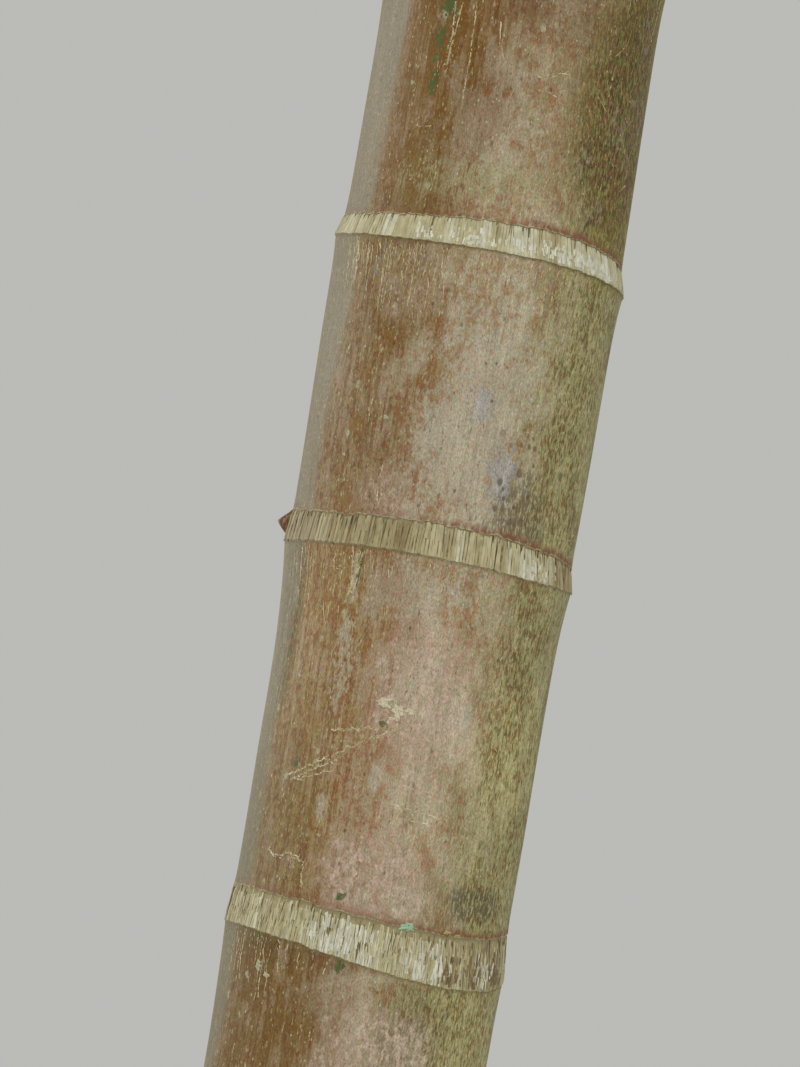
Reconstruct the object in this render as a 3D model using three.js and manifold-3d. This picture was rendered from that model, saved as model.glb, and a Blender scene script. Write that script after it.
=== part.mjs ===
// A betel nut palm: one slender ringed trunk, a smooth green crownshaft made of rolled leaf sheaths,
// an unopened spear and ten feather fronds. Millimetres, +Z up. The ground is the plane z = 0, and the
// origin is the middle of the flat cut under the trunk. The trunk leans towards +X.
import * as THREE from "three";
import { mergeVertices } from "three/addons/utils/BufferGeometryUtils.js";
import Module from "manifold-3d";

const wasm = await Module();
wasm.setup();

// Trunk. Places along it are lengths of its bent axis from the ground.
const TRUNK_LENGTH = 5200;
const FOOT_LEAN = 5.4; // degrees from upright at the ground
const TOP_LEAN = 2.2; // degrees from upright under the crownshaft
const EYE_RADIUS = 79.5; // at eye level, between two rings
const TOP_RADIUS = 61;
const TAPER_STARTS = 2000;
const TAPER_ENDS = 5700; // it would end above the trunk's top
const FLARE = 58; // how much wider the foot is at the ground
const FLARE_REACH = 170;
const LEVEL_FOOT = 350; // over this length the sections turn from level to square with the axis
const TRUNK_SIDES = 18;

// Ring scars: a raised lip below and a sloping band above it. The three at eye level are placed one by
// one, lowest first, and the others follow a rule above and below them.
const EYE_LIPS = [1262, 1484, 1656];
const EYE_BANDS = [25, 17, 14];
const EYE_TILTS = [4, 1.2, 2.5]; // degrees, down towards +X
const STEP_ABOVE = 165;
const STEP_ABOVE_RATIO = 0.966;
const STEP_BELOW = 215;
const STEP_BELOW_RATIO = 0.87;
const STEP_PLAY = 0.07; // share by which a step may differ from its rule
const TILT_PLAY = 2.2; // degrees
const LOWEST_LIP = 60;
const BAND_SHARE = 0.1; // of the step to the next ring
const LEAST_BAND = 5;
const LIP_PROUD = 3.8;
const BAND_TOP_PROUD = 1.3;
const UNDER_LIP = 30; // how far under a lip the bulge has mostly gone
const UNDER_LIP_PROUD = 0.6;

// Crownshaft, on the trunk's axis carried on straight
const SEAT_GAP = 0.3;
const SHAFT_LENGTH = 900;
const SHAFT_FOOT_RADIUS = 68;
const SHAFT_SWELL_RADIUS = 84;
const SHAFT_SWELL_AT = 150;
const SHAFT_NECK_RADIUS = 40;
const SHAFT_SIDES = 18;
const SHAFT_ROWS = 12;

// Spear, the newest leaf, still rolled
const SPEAR_LENGTH = 1150;
const SPEAR_RADIUS = 17; // at its foot
const SPEAR_OUTLINE = [[0.3, 1.15], [0.7, 0.7]]; // shares of the length and of the foot's radius
const SPEAR_SIDES = 7;

// Fronds, oldest and lowest first
const FRONDS = 10;
const FROND_TURN = 137.5; // degrees from each frond to the next
const FIRST_TURN = 205;
const OLD_ROOT = 560; // height of the oldest frond's root on the crownshaft
const YOUNG_ROOT = 810;
const OLD_RISE = 30; // degrees above level as the frond leaves the crownshaft
const YOUNG_RISE = 80;
const RISE_POWER = 0.85;
const OLD_BEND = 76; // degrees that the frond turns down on its way to the tip
const YOUNG_BEND = 26;
const BEND_POWER = 1.35;
const OLD_LENGTH = 2150;
const YOUNG_LENGTH = 1980;
const PEEL_RISE = 86; // degrees: the stalk first runs up the crownshaft, then peels off it
const PEEL_REACH = 0.035; // share of the frond's length
const ROLL_PLAY = 16; // degrees that the blade twists on its way to the tip
const TURN_PLAY = 5;
const BEND_PLAY = 5;
const LENGTH_PLAY = 0.04;
const SPLIT_BEND = 50; // a frond that turns down more than this is two nodes
const SPLIT_AFTER = 7.7; // how many leaflet steps up the blade it is cut
const PATH_STEPS = 60; // of the sum that gives the frond's path

// Stalk and midrib
const STALK_STEPS = 6; // sections from the crownshaft to the first leaflet
const STALK_CROWDING = 1.5; // they stand closer where the stalk peels off
const RIB_WIDE = 31; // half width where the stalk starts
const RIB_DEEP = 15;
const RIB_TIP = 4; // half width and depth at the tip
const WIDE_POWER = 2.2;
const DEEP_POWER = 1.6;
const FOOT_DEEP = 0.55; // share of its depth that the stalk has at its foot
const FOOT_REACH = 0.03;
const SUNK_SHARE = 0.35; // of the stalk's depth that lies inside the crownshaft's outline

// Leaflets of one frond
const LEAFLETS_A_SIDE = 17;
const BLADE_STARTS = 0.15; // shares of the frond's length
const BLADE_ENDS = 0.985;
const LEAFLET_LENGTH = 620; // the longest
const LONGEST_AT = 0.36; // share of the blade
const FIRST_SHARE = 0.72; // length of the first leaflet, as a share of the longest
const LAST_SHARE = 0.42;
const ROOT_ANGLE = 68; // degrees between leaflet and rib where the blade starts
const TIP_ANGLE = 24;
const ANGLE_POWER = 1.2;
const LEAST_ANGLE = 34; // for the width alone
const YOUNG_LIFT = 34; // degrees that leaflets rise out of the blade's plane
const OLD_LIFT = 12;
const LIFT_LOST = 0.5; // share of the lift that is gone at the tip
const YOUNG_DROOP = 0.35; // how much a leaflet's outer half turns down
const OLD_DROOP = 0.95;
const WIDTH_FILL = 0.86; // share of the room between two leaflets that one takes
const THICK_SHARE = 0.011; // of the leaflet's length
const ROOT_WIDTH = 30;
const TIP_WIDTH_SHARE = 0.4; // leaflets end bitten off, not in a point
const WIDEST_AT = 0.5;
const LIFT_TRIES = [0, 14, -14, 28]; // degrees added until a leaflet is clear of the other fronds
const CLEAR = 0.4;

const BARK_BROWN = 0x8f7a5e;
const SHEATH_GREEN = 0x6f8f4a;
const SPEAR_GREEN = 0x9bb45a;
const FROND_GREEN = 0x3f6b2c;

const rad = THREE.MathUtils.degToRad;
const mix = THREE.MathUtils.lerp;
const smooth = THREE.MathUtils.smoothstep;

// The same number from -1 to 1 each time for the same two whole numbers.
function play(which, purpose) {
  let state = (which * 7919 + purpose * 104729 + 12345) % 4294967296;
  for (let round = 0; round < 4; round++) {
    state = (state * 1664525 + 1013904223) % 4294967296;
  }
  return (state / 4294967296) * 2 - 1;
}

// Trunk axis: an arc in the XZ plane, then a straight line.
const BEND_PER_MM = rad(FOOT_LEAN - TOP_LEAN) / TRUNK_LENGTH;

function leanAt(along) {
  return rad(FOOT_LEAN) - BEND_PER_MM * Math.min(Math.max(along, 0), TRUNK_LENGTH);
}

function axisAt(along) {
  const lean = leanAt(along);
  const onArc = new THREE.Vector3(
    (Math.cos(lean) - Math.cos(rad(FOOT_LEAN))) / BEND_PER_MM,
    0,
    (Math.sin(rad(FOOT_LEAN)) - Math.sin(lean)) / BEND_PER_MM,
  );
  const beyond = Math.max(along - TRUNK_LENGTH, 0);
  return onArc.add(new THREE.Vector3(Math.sin(lean), 0, Math.cos(lean)).multiplyScalar(beyond));
}

// Turns a straight solid of revolution, whose height is the length along the axis, into one on the axis.
function bendOntoAxis(lathe, rise) {
  const place = lathe.getAttribute("position");
  for (let i = 0; i < place.count; i++) {
    const across = place.getX(i);
    const deep = -place.getZ(i);
    const along = place.getY(i);
    const tilt = leanAt(along) * smooth(along, 0, LEVEL_FOOT);
    const p = axisAt(along + rise(along, across));
    place.setXYZ(i, p.x + across * Math.cos(tilt), deep, p.z - across * Math.sin(tilt));
  }
  return lathe;
}

function ringScars() {
  const rings = EYE_LIPS.map((lip, i) => ({ lip, band: EYE_BANDS[i], tilt: EYE_TILTS[i] }));
  let step = STEP_ABOVE;
  let lip = EYE_LIPS[2];
  for (let n = 1; lip + step < TRUNK_LENGTH - step / 2; n++) {
    lip += step * (1 + STEP_PLAY * play(n, 1));
    rings.push({ lip, band: Math.max(step * BAND_SHARE, LEAST_BAND), tilt: TILT_PLAY * play(n, 2) });
    step *= STEP_ABOVE_RATIO;
  }
  step = STEP_BELOW;
  lip = EYE_LIPS[0];
  for (let n = 1; lip - step > LOWEST_LIP; n++) {
    lip -= step * (1 + STEP_PLAY * play(n, 3));
    rings.unshift({ lip, band: step * BAND_SHARE, tilt: TILT_PLAY * play(n, 4) });
    step *= STEP_BELOW_RATIO;
  }
  return rings;
}

function trunkRadius(along) {
  const taper = (EYE_RADIUS - TOP_RADIUS) * smooth(along, TAPER_STARTS, TAPER_ENDS);
  return EYE_RADIUS - taper + FLARE * Math.exp(-along / FLARE_REACH);
}

function trunkGeometry() {
  const rings = ringScars();
  const profile = [new THREE.Vector2(0, 0), new THREE.Vector2(trunkRadius(0), 0)];
  const add = (along, proud) => profile.push(new THREE.Vector2(trunkRadius(along) + proud, along));
  for (const { lip, band } of rings) {
    add(lip - UNDER_LIP, UNDER_LIP_PROUD);
    add(lip, LIP_PROUD);
    add(lip + band, BAND_TOP_PROUD);
  }
  add(TRUNK_LENGTH, 0);
  profile.push(new THREE.Vector2(0, TRUNK_LENGTH));
  // A ring's tilt fades out over one more band's height on either side of it.
  const tilted = (along, across) => {
    let slope = 0;
    for (const { lip, band, tilt } of rings) {
      const away = Math.max(lip - UNDER_LIP - along, along - lip - band, 0);
      slope += Math.tan(rad(tilt)) * (1 - smooth(away, 0, band));
    }
    return -across * slope;
  };
  return bendOntoAxis(new THREE.LatheGeometry(profile, TRUNK_SIDES), tilted);
}

function shaftRadius(up) {
  const swell = mix(SHAFT_FOOT_RADIUS, SHAFT_SWELL_RADIUS, smooth(up, 0, SHAFT_SWELL_AT));
  return mix(swell, SHAFT_NECK_RADIUS, smooth(up, SHAFT_SWELL_AT, SHAFT_LENGTH));
}

// grown makes it that much fatter and taller, to cut room for it in the stalks that lie against it.
function shaftGeometry(grown) {
  const profile = [new THREE.Vector2(0, TRUNK_LENGTH + SEAT_GAP)];
  for (let row = 0; row <= SHAFT_ROWS; row++) {
    const up = (SHAFT_LENGTH * row) / SHAFT_ROWS;
    profile.push(new THREE.Vector2(shaftRadius(up) + grown, TRUNK_LENGTH + SEAT_GAP + up));
  }
  profile[profile.length - 1].y += grown;
  profile.push(new THREE.Vector2(0, TRUNK_LENGTH + SEAT_GAP + SHAFT_LENGTH + grown));
  return bendOntoAxis(new THREE.LatheGeometry(profile, SHAFT_SIDES), () => 0);
}

function spearGeometry() {
  const foot = TRUNK_LENGTH + SHAFT_LENGTH + 2 * SEAT_GAP;
  const outline = [[0, 0], [0, 1], ...SPEAR_OUTLINE, [1, 0]];
  const profile = outline.map(
    ([up, out]) => new THREE.Vector2(SPEAR_RADIUS * out, foot + SPEAR_LENGTH * up),
  );
  return bendOntoAxis(new THREE.LatheGeometry(profile, SPEAR_SIDES), () => 0);
}

// A mesh put together from loops of points, each listed anticlockwise as seen from further on.
class Skin {
  corners = [];
  triangles = [];

  loop(points) {
    const first = this.corners.length / 3;
    points.forEach((p) => this.corners.push(p.x, p.y, p.z));
    return points.map((_, i) => first + i);
  }

  quad(a, b, c, d) {
    this.triangles.push(a, b, c, a, c, d);
  }

  // The walls between two loops, but for the sides listed as open.
  walls(low, high, open = []) {
    low.forEach((corner, i) => {
      const next = (i + 1) % low.length;
      if (!open.includes(i)) this.quad(corner, low[next], high[next], high[i]);
    });
  }

  cap(loop) {
    for (let i = 1; i + 1 < loop.length; i++) this.triangles.push(loop[0], loop[i], loop[i + 1]);
  }

  // Closes four corners down to an edge, the first two to one end of it and the last two to the other.
  edge([a, b, c, d], [near, far]) {
    this.triangles.push(a, b, near, c, d, far);
    this.quad(b, c, far, near);
    this.quad(d, a, near, far);
  }

  solid() {
    return solidOf(
      new THREE.BufferGeometry()
        .setAttribute("position", new THREE.Float32BufferAttribute(this.corners, 3))
        .setIndex(this.triangles),
    );
  }
}

function solidOf(geometry) {
  const bare = new THREE.BufferGeometry().setAttribute("position", geometry.getAttribute("position"));
  const merged = mergeVertices(bare.setIndex(geometry.index), 1e-3);
  return new wasm.Manifold(
    new wasm.Mesh({
      numProp: 3,
      vertProperties: new Float32Array(merged.getAttribute("position").array),
      triVerts: new Uint32Array(merged.index.array),
    }),
  );
}

function geometryOf(solid) {
  const { vertProperties, triVerts } = solid.getMesh();
  const geometry = new THREE.BufferGeometry()
    .setAttribute("position", new THREE.BufferAttribute(vertProperties, 3))
    .setIndex(new THREE.BufferAttribute(triVerts, 1));
  geometry.computeVertexNormals();
  return geometry;
}

// What sets one frond apart: youth is 0 for the oldest and 1 for the youngest.
function frondPlan(n) {
  const youth = n / (FRONDS - 1);
  const bend = mix(OLD_BEND, YOUNG_BEND, youth) + BEND_PLAY * play(n, 5);
  return {
    name: "frond_" + String(n + 1).padStart(2, "0"),
    youth,
    root: mix(OLD_ROOT, YOUNG_ROOT, youth),
    rise: mix(OLD_RISE, YOUNG_RISE, youth ** RISE_POWER),
    bend,
    turn: rad(FIRST_TURN + FROND_TURN * n + TURN_PLAY * play(n, 6)),
    roll: rad(ROLL_PLAY) * play(n, 7),
    length: mix(OLD_LENGTH, YOUNG_LENGTH, youth) * (1 + LENGTH_PLAY * play(n, 8)),
    split: bend > SPLIT_BEND,
  };
}

// Place and directions at a share of the frond's length: ahead to the tip, side across the blade, up.
function frondFrame(plan, share) {
  const steps = Math.max(1, Math.round(share * PATH_STEPS));
  const flat = new THREE.Vector3(Math.cos(plan.turn), Math.sin(plan.turn), 0);
  const seat = shaftRadius(plan.root) - RIB_DEEP * SUNK_SHARE;
  const at = axisAt(TRUNK_LENGTH + SEAT_GAP + plan.root).addScaledVector(flat, seat);
  const riseAt = (t) => {
    const peel = (PEEL_RISE - plan.rise) * Math.exp(-t / PEEL_REACH);
    return rad(plan.rise + peel - plan.bend * t ** BEND_POWER);
  };
  const stride = (plan.length * share) / steps;
  for (let k = 0; k < steps; k++) {
    const rise = riseAt(((k + 0.5) * share) / steps);
    at.addScaledVector(flat, stride * Math.cos(rise));
    at.z += stride * Math.sin(rise);
  }
  const rise = riseAt(share);
  const ahead = flat.clone().multiplyScalar(Math.cos(rise)).setZ(Math.sin(rise));
  const level = new THREE.Vector3(-Math.sin(plan.turn), Math.cos(plan.turn), 0);
  const side = level.clone().applyAxisAngle(ahead, plan.roll * share);
  return { at, ahead, side, up: ahead.clone().cross(side) };
}

function ribSize(share) {
  const wide = mix(RIB_TIP, RIB_WIDE, (1 - share) ** WIDE_POWER);
  const deep = mix(RIB_TIP, RIB_DEEP, (1 - share) ** DEEP_POWER);
  return { wide, deep: deep * mix(FOOT_DEEP, 1, smooth(share, 0, FOOT_REACH)) };
}

// A six-sided section of the stalk or midrib. Its two upright sides, 0 and 3, carry the leaflets.
function ribSection(plan, share, grown) {
  const { at, side, up } = frondFrame(plan, share);
  const { wide, deep } = ribSize(share);
  const corner = (across, high) => at.clone().addScaledVector(side, across).addScaledVector(up, high);
  const [reach, half] = [wide + grown, leafletThickness(0) / 2 + grown];
  return [
    corner(reach, -half),
    corner(reach, half),
    corner(0, deep + grown),
    corner(-reach, half),
    corner(-reach, -half),
    corner(0, -deep - grown),
  ];
}

const leafletShare = (k) => mix(BLADE_STARTS, BLADE_ENDS, k / (LEAFLETS_A_SIDE - 1));
const alongBlade = (share) => (share - BLADE_STARTS) / (BLADE_ENDS - BLADE_STARTS);

function leafletLength(along) {
  if (along < LONGEST_AT) return LEAFLET_LENGTH * mix(FIRST_SHARE, 1, smooth(along, 0, LONGEST_AT));
  return LEAFLET_LENGTH * mix(1, LAST_SHARE, (along - LONGEST_AT) / (1 - LONGEST_AT));
}

const leafletThickness = (along) => THICK_SHARE * leafletLength(along);

// The middle loop and the bitten-off end of one leaflet, which grows from the rib's side on its hand.
function leafletShape(plan, share, hand, moreLift) {
  const { at, ahead, side, up } = frondFrame(plan, share);
  const along = alongBlade(share);
  const length = leafletLength(along);
  const angle = rad(mix(ROOT_ANGLE, TIP_ANGLE, along ** ANGLE_POWER));
  const lift = rad(mix(OLD_LIFT, YOUNG_LIFT, plan.youth) * (1 - LIFT_LOST * along) + moreLift);
  const outward = side.clone().multiplyScalar(hand * Math.cos(lift)).addScaledVector(up, Math.sin(lift));
  const run = ahead.clone().multiplyScalar(Math.cos(angle)).addScaledVector(outward, Math.sin(angle));
  const hanging = run.clone().setZ(run.z - mix(OLD_DROOP, YOUNG_DROOP, plan.youth)).normalize();
  const spacing = (plan.length * (BLADE_ENDS - BLADE_STARTS)) / (LEAFLETS_A_SIDE - 1);
  const width = WIDTH_FILL * spacing * Math.sin(Math.max(angle, rad(LEAST_ANGLE)));
  const across = ahead.clone().addScaledVector(run, -ahead.dot(run)).normalize();
  const over = run.clone().cross(across).multiplyScalar((-hand * leafletThickness(along)) / 2);
  const root = at.clone().addScaledVector(side, hand * ribSize(share).wide);
  const middle = root.clone().addScaledVector(run, length * WIDEST_AT);
  const tip = middle.clone().addScaledVector(hanging, length * (1 - WIDEST_AT));
  const beside = (point, share) => point.clone().addScaledVector(across, share * width);
  const end = (back) => beside(tip, back * TIP_WIDTH_SHARE);
  return {
    middle: [
      beside(middle, -0.5).addScaledVector(over, -hand),
      beside(middle, -0.5).addScaledVector(over, hand),
      beside(middle, 0.5).addScaledVector(over, hand),
      beside(middle, 0.5).addScaledVector(over, -hand),
    ],
    end: [end(-0.5), end(0.5)],
  };
}

// The four corners on a rib's side between two sections, in the order that a leaflet's loops have.
function sideCorners(back, front, hand) {
  const first = hand > 0 ? 0 : 3;
  return [back[first], back[first + 1], front[first + 1], front[first]];
}

// A leaflet by itself, closed where it meets the rib, for testing what it touches.
function leafletSolid(plan, share, hand, moreLift) {
  const half = ROOT_WIDTH / 2 / plan.length;
  const skin = new Skin();
  const { middle, end } = leafletShape(plan, share, hand, moreLift);
  const sections = [ribSection(plan, share - half, 0), ribSection(plan, share + half, 0)];
  const root = skin.loop(sideCorners(...sections, hand));
  const wide = skin.loop(middle);
  skin.cap([...root].reverse());
  skin.walls(root, wide);
  skin.edge(wide, skin.loop(end));
  return skin.solid();
}

// The stalk and midrib between two shares of the length, with the leaflets that keep() gives a lift.
function bladeSolid(plan, from, to, grown, keep) {
  const half = ROOT_WIDTH / 2 / plan.length;
  const stations = [];
  for (let step = 0; from === 0 && step < STALK_STEPS; step++) {
    stations.push({ share: (BLADE_STARTS - 2 * half) * (step / STALK_STEPS) ** STALK_CROWDING });
  }
  if (from > 0) stations.push({ share: from });
  for (let k = 0; k < LEAFLETS_A_SIDE; k++) {
    const share = leafletShare(k);
    if (share < from || share > to) continue;
    stations.push({ share: share - half, k }, { share: share + half });
  }
  stations.push({ share: to });
  const skin = new Skin();
  const loops = stations.map(({ share }) => skin.loop(ribSection(plan, share, grown)));
  skin.cap([...loops[0]].reverse());
  skin.cap(loops[loops.length - 1]);
  for (let n = 0; n + 1 < loops.length; n++) {
    const open = [];
    for (const hand of [1, -1]) {
      const lift = stations[n].k === undefined ? null : keep(stations[n].k, hand);
      if (lift === null) continue;
      const { middle, end } = leafletShape(plan, leafletShare(stations[n].k), hand, lift);
      const wide = skin.loop(middle);
      skin.walls(sideCorners(loops[n], loops[n + 1], hand), wide);
      skin.edge(wide, skin.loop(end));
      open.push(hand > 0 ? 0 : 3);
    }
    skin.walls(loops[n], loops[n + 1], open);
  }
  return skin.solid();
}

const touches = (a, others) => others.some((b) => a.intersect(b).volume() > 0);

// The shares of its length that each node of a frond covers.
function frondSpans(plan) {
  if (!plan.split) return [{ plan, name: plan.name, from: 0, to: 1 }];
  const cut = leafletShare(SPLIT_AFTER);
  return [
    { plan, name: plan.name + "_inner", from: 0, to: cut },
    { plan, name: plan.name + "_outer", from: cut + SEAT_GAP / plan.length, to: 1 },
  ];
}

// All fronds, oldest first, each clear of the crownshaft, the spear and the other fronds.
function frondSolids() {
  const spans = Array.from({ length: FRONDS }, (_, n) => frondSpans(frondPlan(n))).flat();
  const room = spans.map(({ plan, from, to }) => bladeSolid(plan, from, to, CLEAR, () => null));
  const shaft = solidOf(shaftGeometry(CLEAR));
  const spear = solidOf(spearGeometry());
  const made = [];
  spans.forEach(({ plan, name, from, to }, n) => {
    const others = room.filter((_, m) => m !== n).concat(shaft, spear, made.map((m) => m.solid));
    const clearLift = (k, hand) =>
      LIFT_TRIES.find((more) => !touches(leafletSolid(plan, leafletShare(k), hand, more), others)) ?? null;
    const whole = bladeSolid(plan, from, to, 0, clearLift);
    const older = room.filter((_, m) => m < n && spans[m].plan !== plan);
    made.push({ name, solid: older.reduce((left, other) => left.subtract(other), whole.subtract(shaft)) });
  });
  return made;
}

function part(name, geometry, color, roughness) {
  const mesh = new THREE.Mesh(geometry, new THREE.MeshStandardMaterial({ color, roughness, metalness: 0 }));
  mesh.name = name;
  return mesh;
}

const palm = new THREE.Group();
palm.add(part("trunk", trunkGeometry(), BARK_BROWN, 0.8));
palm.add(part("crownshaft", shaftGeometry(0), SHEATH_GREEN, 0.45));
palm.add(part("spear", spearGeometry(), SPEAR_GREEN, 0.5));
for (const { name, solid } of frondSolids()) {
  palm.add(part(name, geometryOf(solid), FROND_GREEN, 0.55));
}

export default palm;
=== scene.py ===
"""Looks of a whole betel nut palm, rooted in level ground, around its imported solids."""
import math

import bpy
import numpy as np
from mathutils import Matrix, Vector
from mathutils.bvhtree import BVHTree


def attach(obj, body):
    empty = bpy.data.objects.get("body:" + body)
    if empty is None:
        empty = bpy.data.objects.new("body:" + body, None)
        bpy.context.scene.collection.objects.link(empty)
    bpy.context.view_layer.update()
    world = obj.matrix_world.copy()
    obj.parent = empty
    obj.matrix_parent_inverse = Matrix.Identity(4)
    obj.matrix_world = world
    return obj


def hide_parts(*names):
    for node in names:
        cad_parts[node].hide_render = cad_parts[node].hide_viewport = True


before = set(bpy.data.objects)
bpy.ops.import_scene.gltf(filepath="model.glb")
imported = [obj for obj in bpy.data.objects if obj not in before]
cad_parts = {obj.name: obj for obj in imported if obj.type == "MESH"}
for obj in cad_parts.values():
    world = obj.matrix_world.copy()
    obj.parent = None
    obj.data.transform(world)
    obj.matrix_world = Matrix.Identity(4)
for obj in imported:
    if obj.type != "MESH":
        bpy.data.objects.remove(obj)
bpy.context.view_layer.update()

# Camera
# It looks almost level at the trunk from less than two metres, through a long lens, and leans about five
# degrees to one side, as it was held.
CAMERA_AT = Vector((0.1097, -1.770, 1.460))
LENS = 105.0
PITCH = math.radians(1.1)
ROLL = math.radians(5.08)

ahead = Vector((0, math.cos(PITCH), math.sin(PITCH)))
level_up = Vector((0, -math.sin(PITCH), math.cos(PITCH)))
right = math.cos(ROLL) * Vector((1, 0, 0)) + math.sin(ROLL) * level_up
camera = bpy.data.objects.new("camera", bpy.data.cameras.new("camera"))
camera.data.lens = LENS
camera.matrix_world = (
    Matrix.Translation(CAMERA_AT) @ Matrix((right, right.cross(ahead), -ahead)).transposed().to_4x4()
)
bpy.context.scene.collection.objects.link(camera)
bpy.context.scene.camera = camera
bpy.context.scene.view_settings.view_transform = "Standard"

# Studio light and floor
# A large soft light stands to the right of the camera, a weak one to its left, and a strip behind on the
# left draws the pale edge down the trunk. The floor is plain and pale.
LIGHTS = {  # degrees to the right of the front, degrees above level, strength, degrees across, colour
    "key": (16, 42, 1.45, 40, (1.0, 0.98, 0.94)),
    "fill": (-45, 20, 0.25, 60, (0.97, 0.98, 1.0)),
    "edge": (-112, 15, 1.5, 30, (0.97, 0.99, 1.0)),
}
SKY = (0.62, 0.62, 0.60)
SKY_STRENGTH = 0.8
FLOOR_RADIUS = 4.0
FLOOR_TONE = (0.62, 0.61, 0.59, 1)
FLOOR_ROUGHNESS = 0.9
FLOOR_SIDES = 96

for name, (turn, height, strength, across, colour) in LIGHTS.items():
    turn, height = math.radians(turn), math.radians(height)
    level = math.cos(height)
    towards = Vector((math.sin(turn) * level, -math.cos(turn) * level, math.sin(height)))
    light = bpy.data.objects.new(name, bpy.data.lights.new(name, "SUN"))
    light.data.energy = strength
    light.data.angle = math.radians(across)
    light.data.color = colour
    light.matrix_world = towards.to_track_quat("Z", "Y").to_matrix().to_4x4()
    bpy.context.scene.collection.objects.link(light)

world = bpy.data.worlds.new("studio")
world.use_nodes = True
world.node_tree.nodes["Background"].inputs["Color"].default_value = (*SKY, 1)
world.node_tree.nodes["Background"].inputs["Strength"].default_value = SKY_STRENGTH
bpy.context.scene.world = world

floor_mesh = bpy.data.meshes.new("floor")
rim = [2 * math.pi * n / FLOOR_SIDES for n in range(FLOOR_SIDES)]
floor_mesh.from_pydata(
    [(FLOOR_RADIUS * math.cos(a), FLOOR_RADIUS * math.sin(a), 0) for a in rim],
    [],
    [list(range(FLOOR_SIDES))],
)
floor_paint = bpy.data.materials.new("floor")
floor_paint.use_nodes = True
floor_paint.node_tree.nodes["Principled BSDF"].inputs["Base Color"].default_value = FLOOR_TONE
floor_paint.node_tree.nodes["Principled BSDF"].inputs["Roughness"].default_value = FLOOR_ROUGHNESS
floor_mesh.materials.append(floor_paint)
floor = bpy.data.objects.new("floor", floor_mesh)
bpy.context.scene.collection.objects.link(floor)

# Trunk
# One slender woody stem, leaning and a little bent, flared at the ground and ringed by the scars of shed
# leaves: a lip, and a pale band of torn fibres above it. Turns are angles round it from the front, growing
# to the right, and places are lengths of its bent middle line from the ground.
TRUNK_LENGTH = 5.2
FOOT_LEAN = math.radians(5.4)
TOP_LEAN = math.radians(2.2)
EYE_RADIUS = 0.0795
TOP_RADIUS = 0.061
TAPER_STARTS = 2.0
TAPER_ENDS = 5.7
FLARE = 0.054
FLARE_REACH = 0.17
LEVEL_FOOT = 0.35
BEND_PER_METRE = (FOOT_LEAN - TOP_LEAN) / TRUNK_LENGTH

EYE_SWELL = 0.0030  # the stem is a little thicker between the two upper rings at eye level
EYE_SWELL_AT = 1.585
EYE_SWELL_REACH = 0.12
EYE_WAIST = 0.0009
EYE_BOW = 0.0011  # it is bowed to the left there
EYE_BOW_AT = 1.565
EYE_BOW_REACH = 0.055
UNEVEN = 0.00035
FOOT_LOBES = 0.006  # how far the flared foot's soft ribs stand out
FOOT_WAVES = [(5, 1, 0.6), (9, 0.6, 2.2)]  # how many ribs go round it, their share and where they start
EYE_COMES = (0.9, 1.1)  # places between which the shape at eye level comes in
EYE_GOES = (1.85, 2.1)
DENT_WAVES = 22
DENTS_ROUND = 9  # fewer than this round the stem
DENTS_ALONG = (2, 34)

# Each ring at eye level, lowest first: a mean in millimetres, how much that gains to the right and at the
# front, how much twice round, and the turn in degrees where that second wave is highest.
EYE_LIPS = [(1262, -3.8, 0, 4.1, -43), (1484, -1.2, 0.7, 2.3, -7), (1656, -4.8, 0, 2.3, 38)]
EYE_BANDS = [(25, 3.1, 0, 1.3, 42), (17, -3.4, 0, 3.1, 34), (14, 0.9, 0.7, 1.7, 23)]
EYE_LIPS_PROUD = [0.0019, 0.0027, 0.0034]
STEP_ABOVE = 0.165
STEP_ABOVE_RATIO = 0.966
STEP_BELOW = 0.215
STEP_BELOW_RATIO = 0.87
STEP_PLAY = 0.07
TILT_PLAY = math.radians(2.2)
FRONT_PLAY = 0.002
TWICE_PLAY = 0.0016
BAND_PLAY = 0.06  # as shares of the band's height
BAND_TWICE = 0.1
WORN_BELOW = 0.8  # how proud the lips below eye level stand, as a share
NEXT_LIP_HIGHER = 0.006  # the ring above the three at eye level lies just out of sight
LOWEST_LIP = 0.06
BAND_SHARE = 0.1
LEAST_BAND = 0.005
LIP_PROUD = 0.0028
BAND_SUNK = 0.0004  # how far the band's upper edge is sunk under the bark's broken edge, on the right
BARK_EDGE_PROUD = 0.0004
BARK_EDGE_REACH = 0.003
UNDER_LIP_SHARE = 0.88  # how far the bark swells out under a lip, as a share of how proud the lip stands
UNDER_LIP_REACH = 0.020
UNDER_LIP_STEPS = 8  # and no further than the step to the next ring below, divided by this
LIP_RAGGED = 0.0002
LIP_WAVES = (8, 130)  # the longest and the shortest of a ragged line's waves, as how many go round
BAND_RAGGED = 0.0003
BAND_WAVES = (7, 150)
FIBRE_RELIEF = 0.00016
FIBRE_WAVES = (60, 190)
LEAST_HEIGHT = 0.4  # of a band, as a share of its mean
BAND_CURVE = 0.35
LEFT_SUNK = 0.25  # how far the band's upper edge is sunk on the left, as a share
SUNK_SIDE = (0.1, 0.8)

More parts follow.
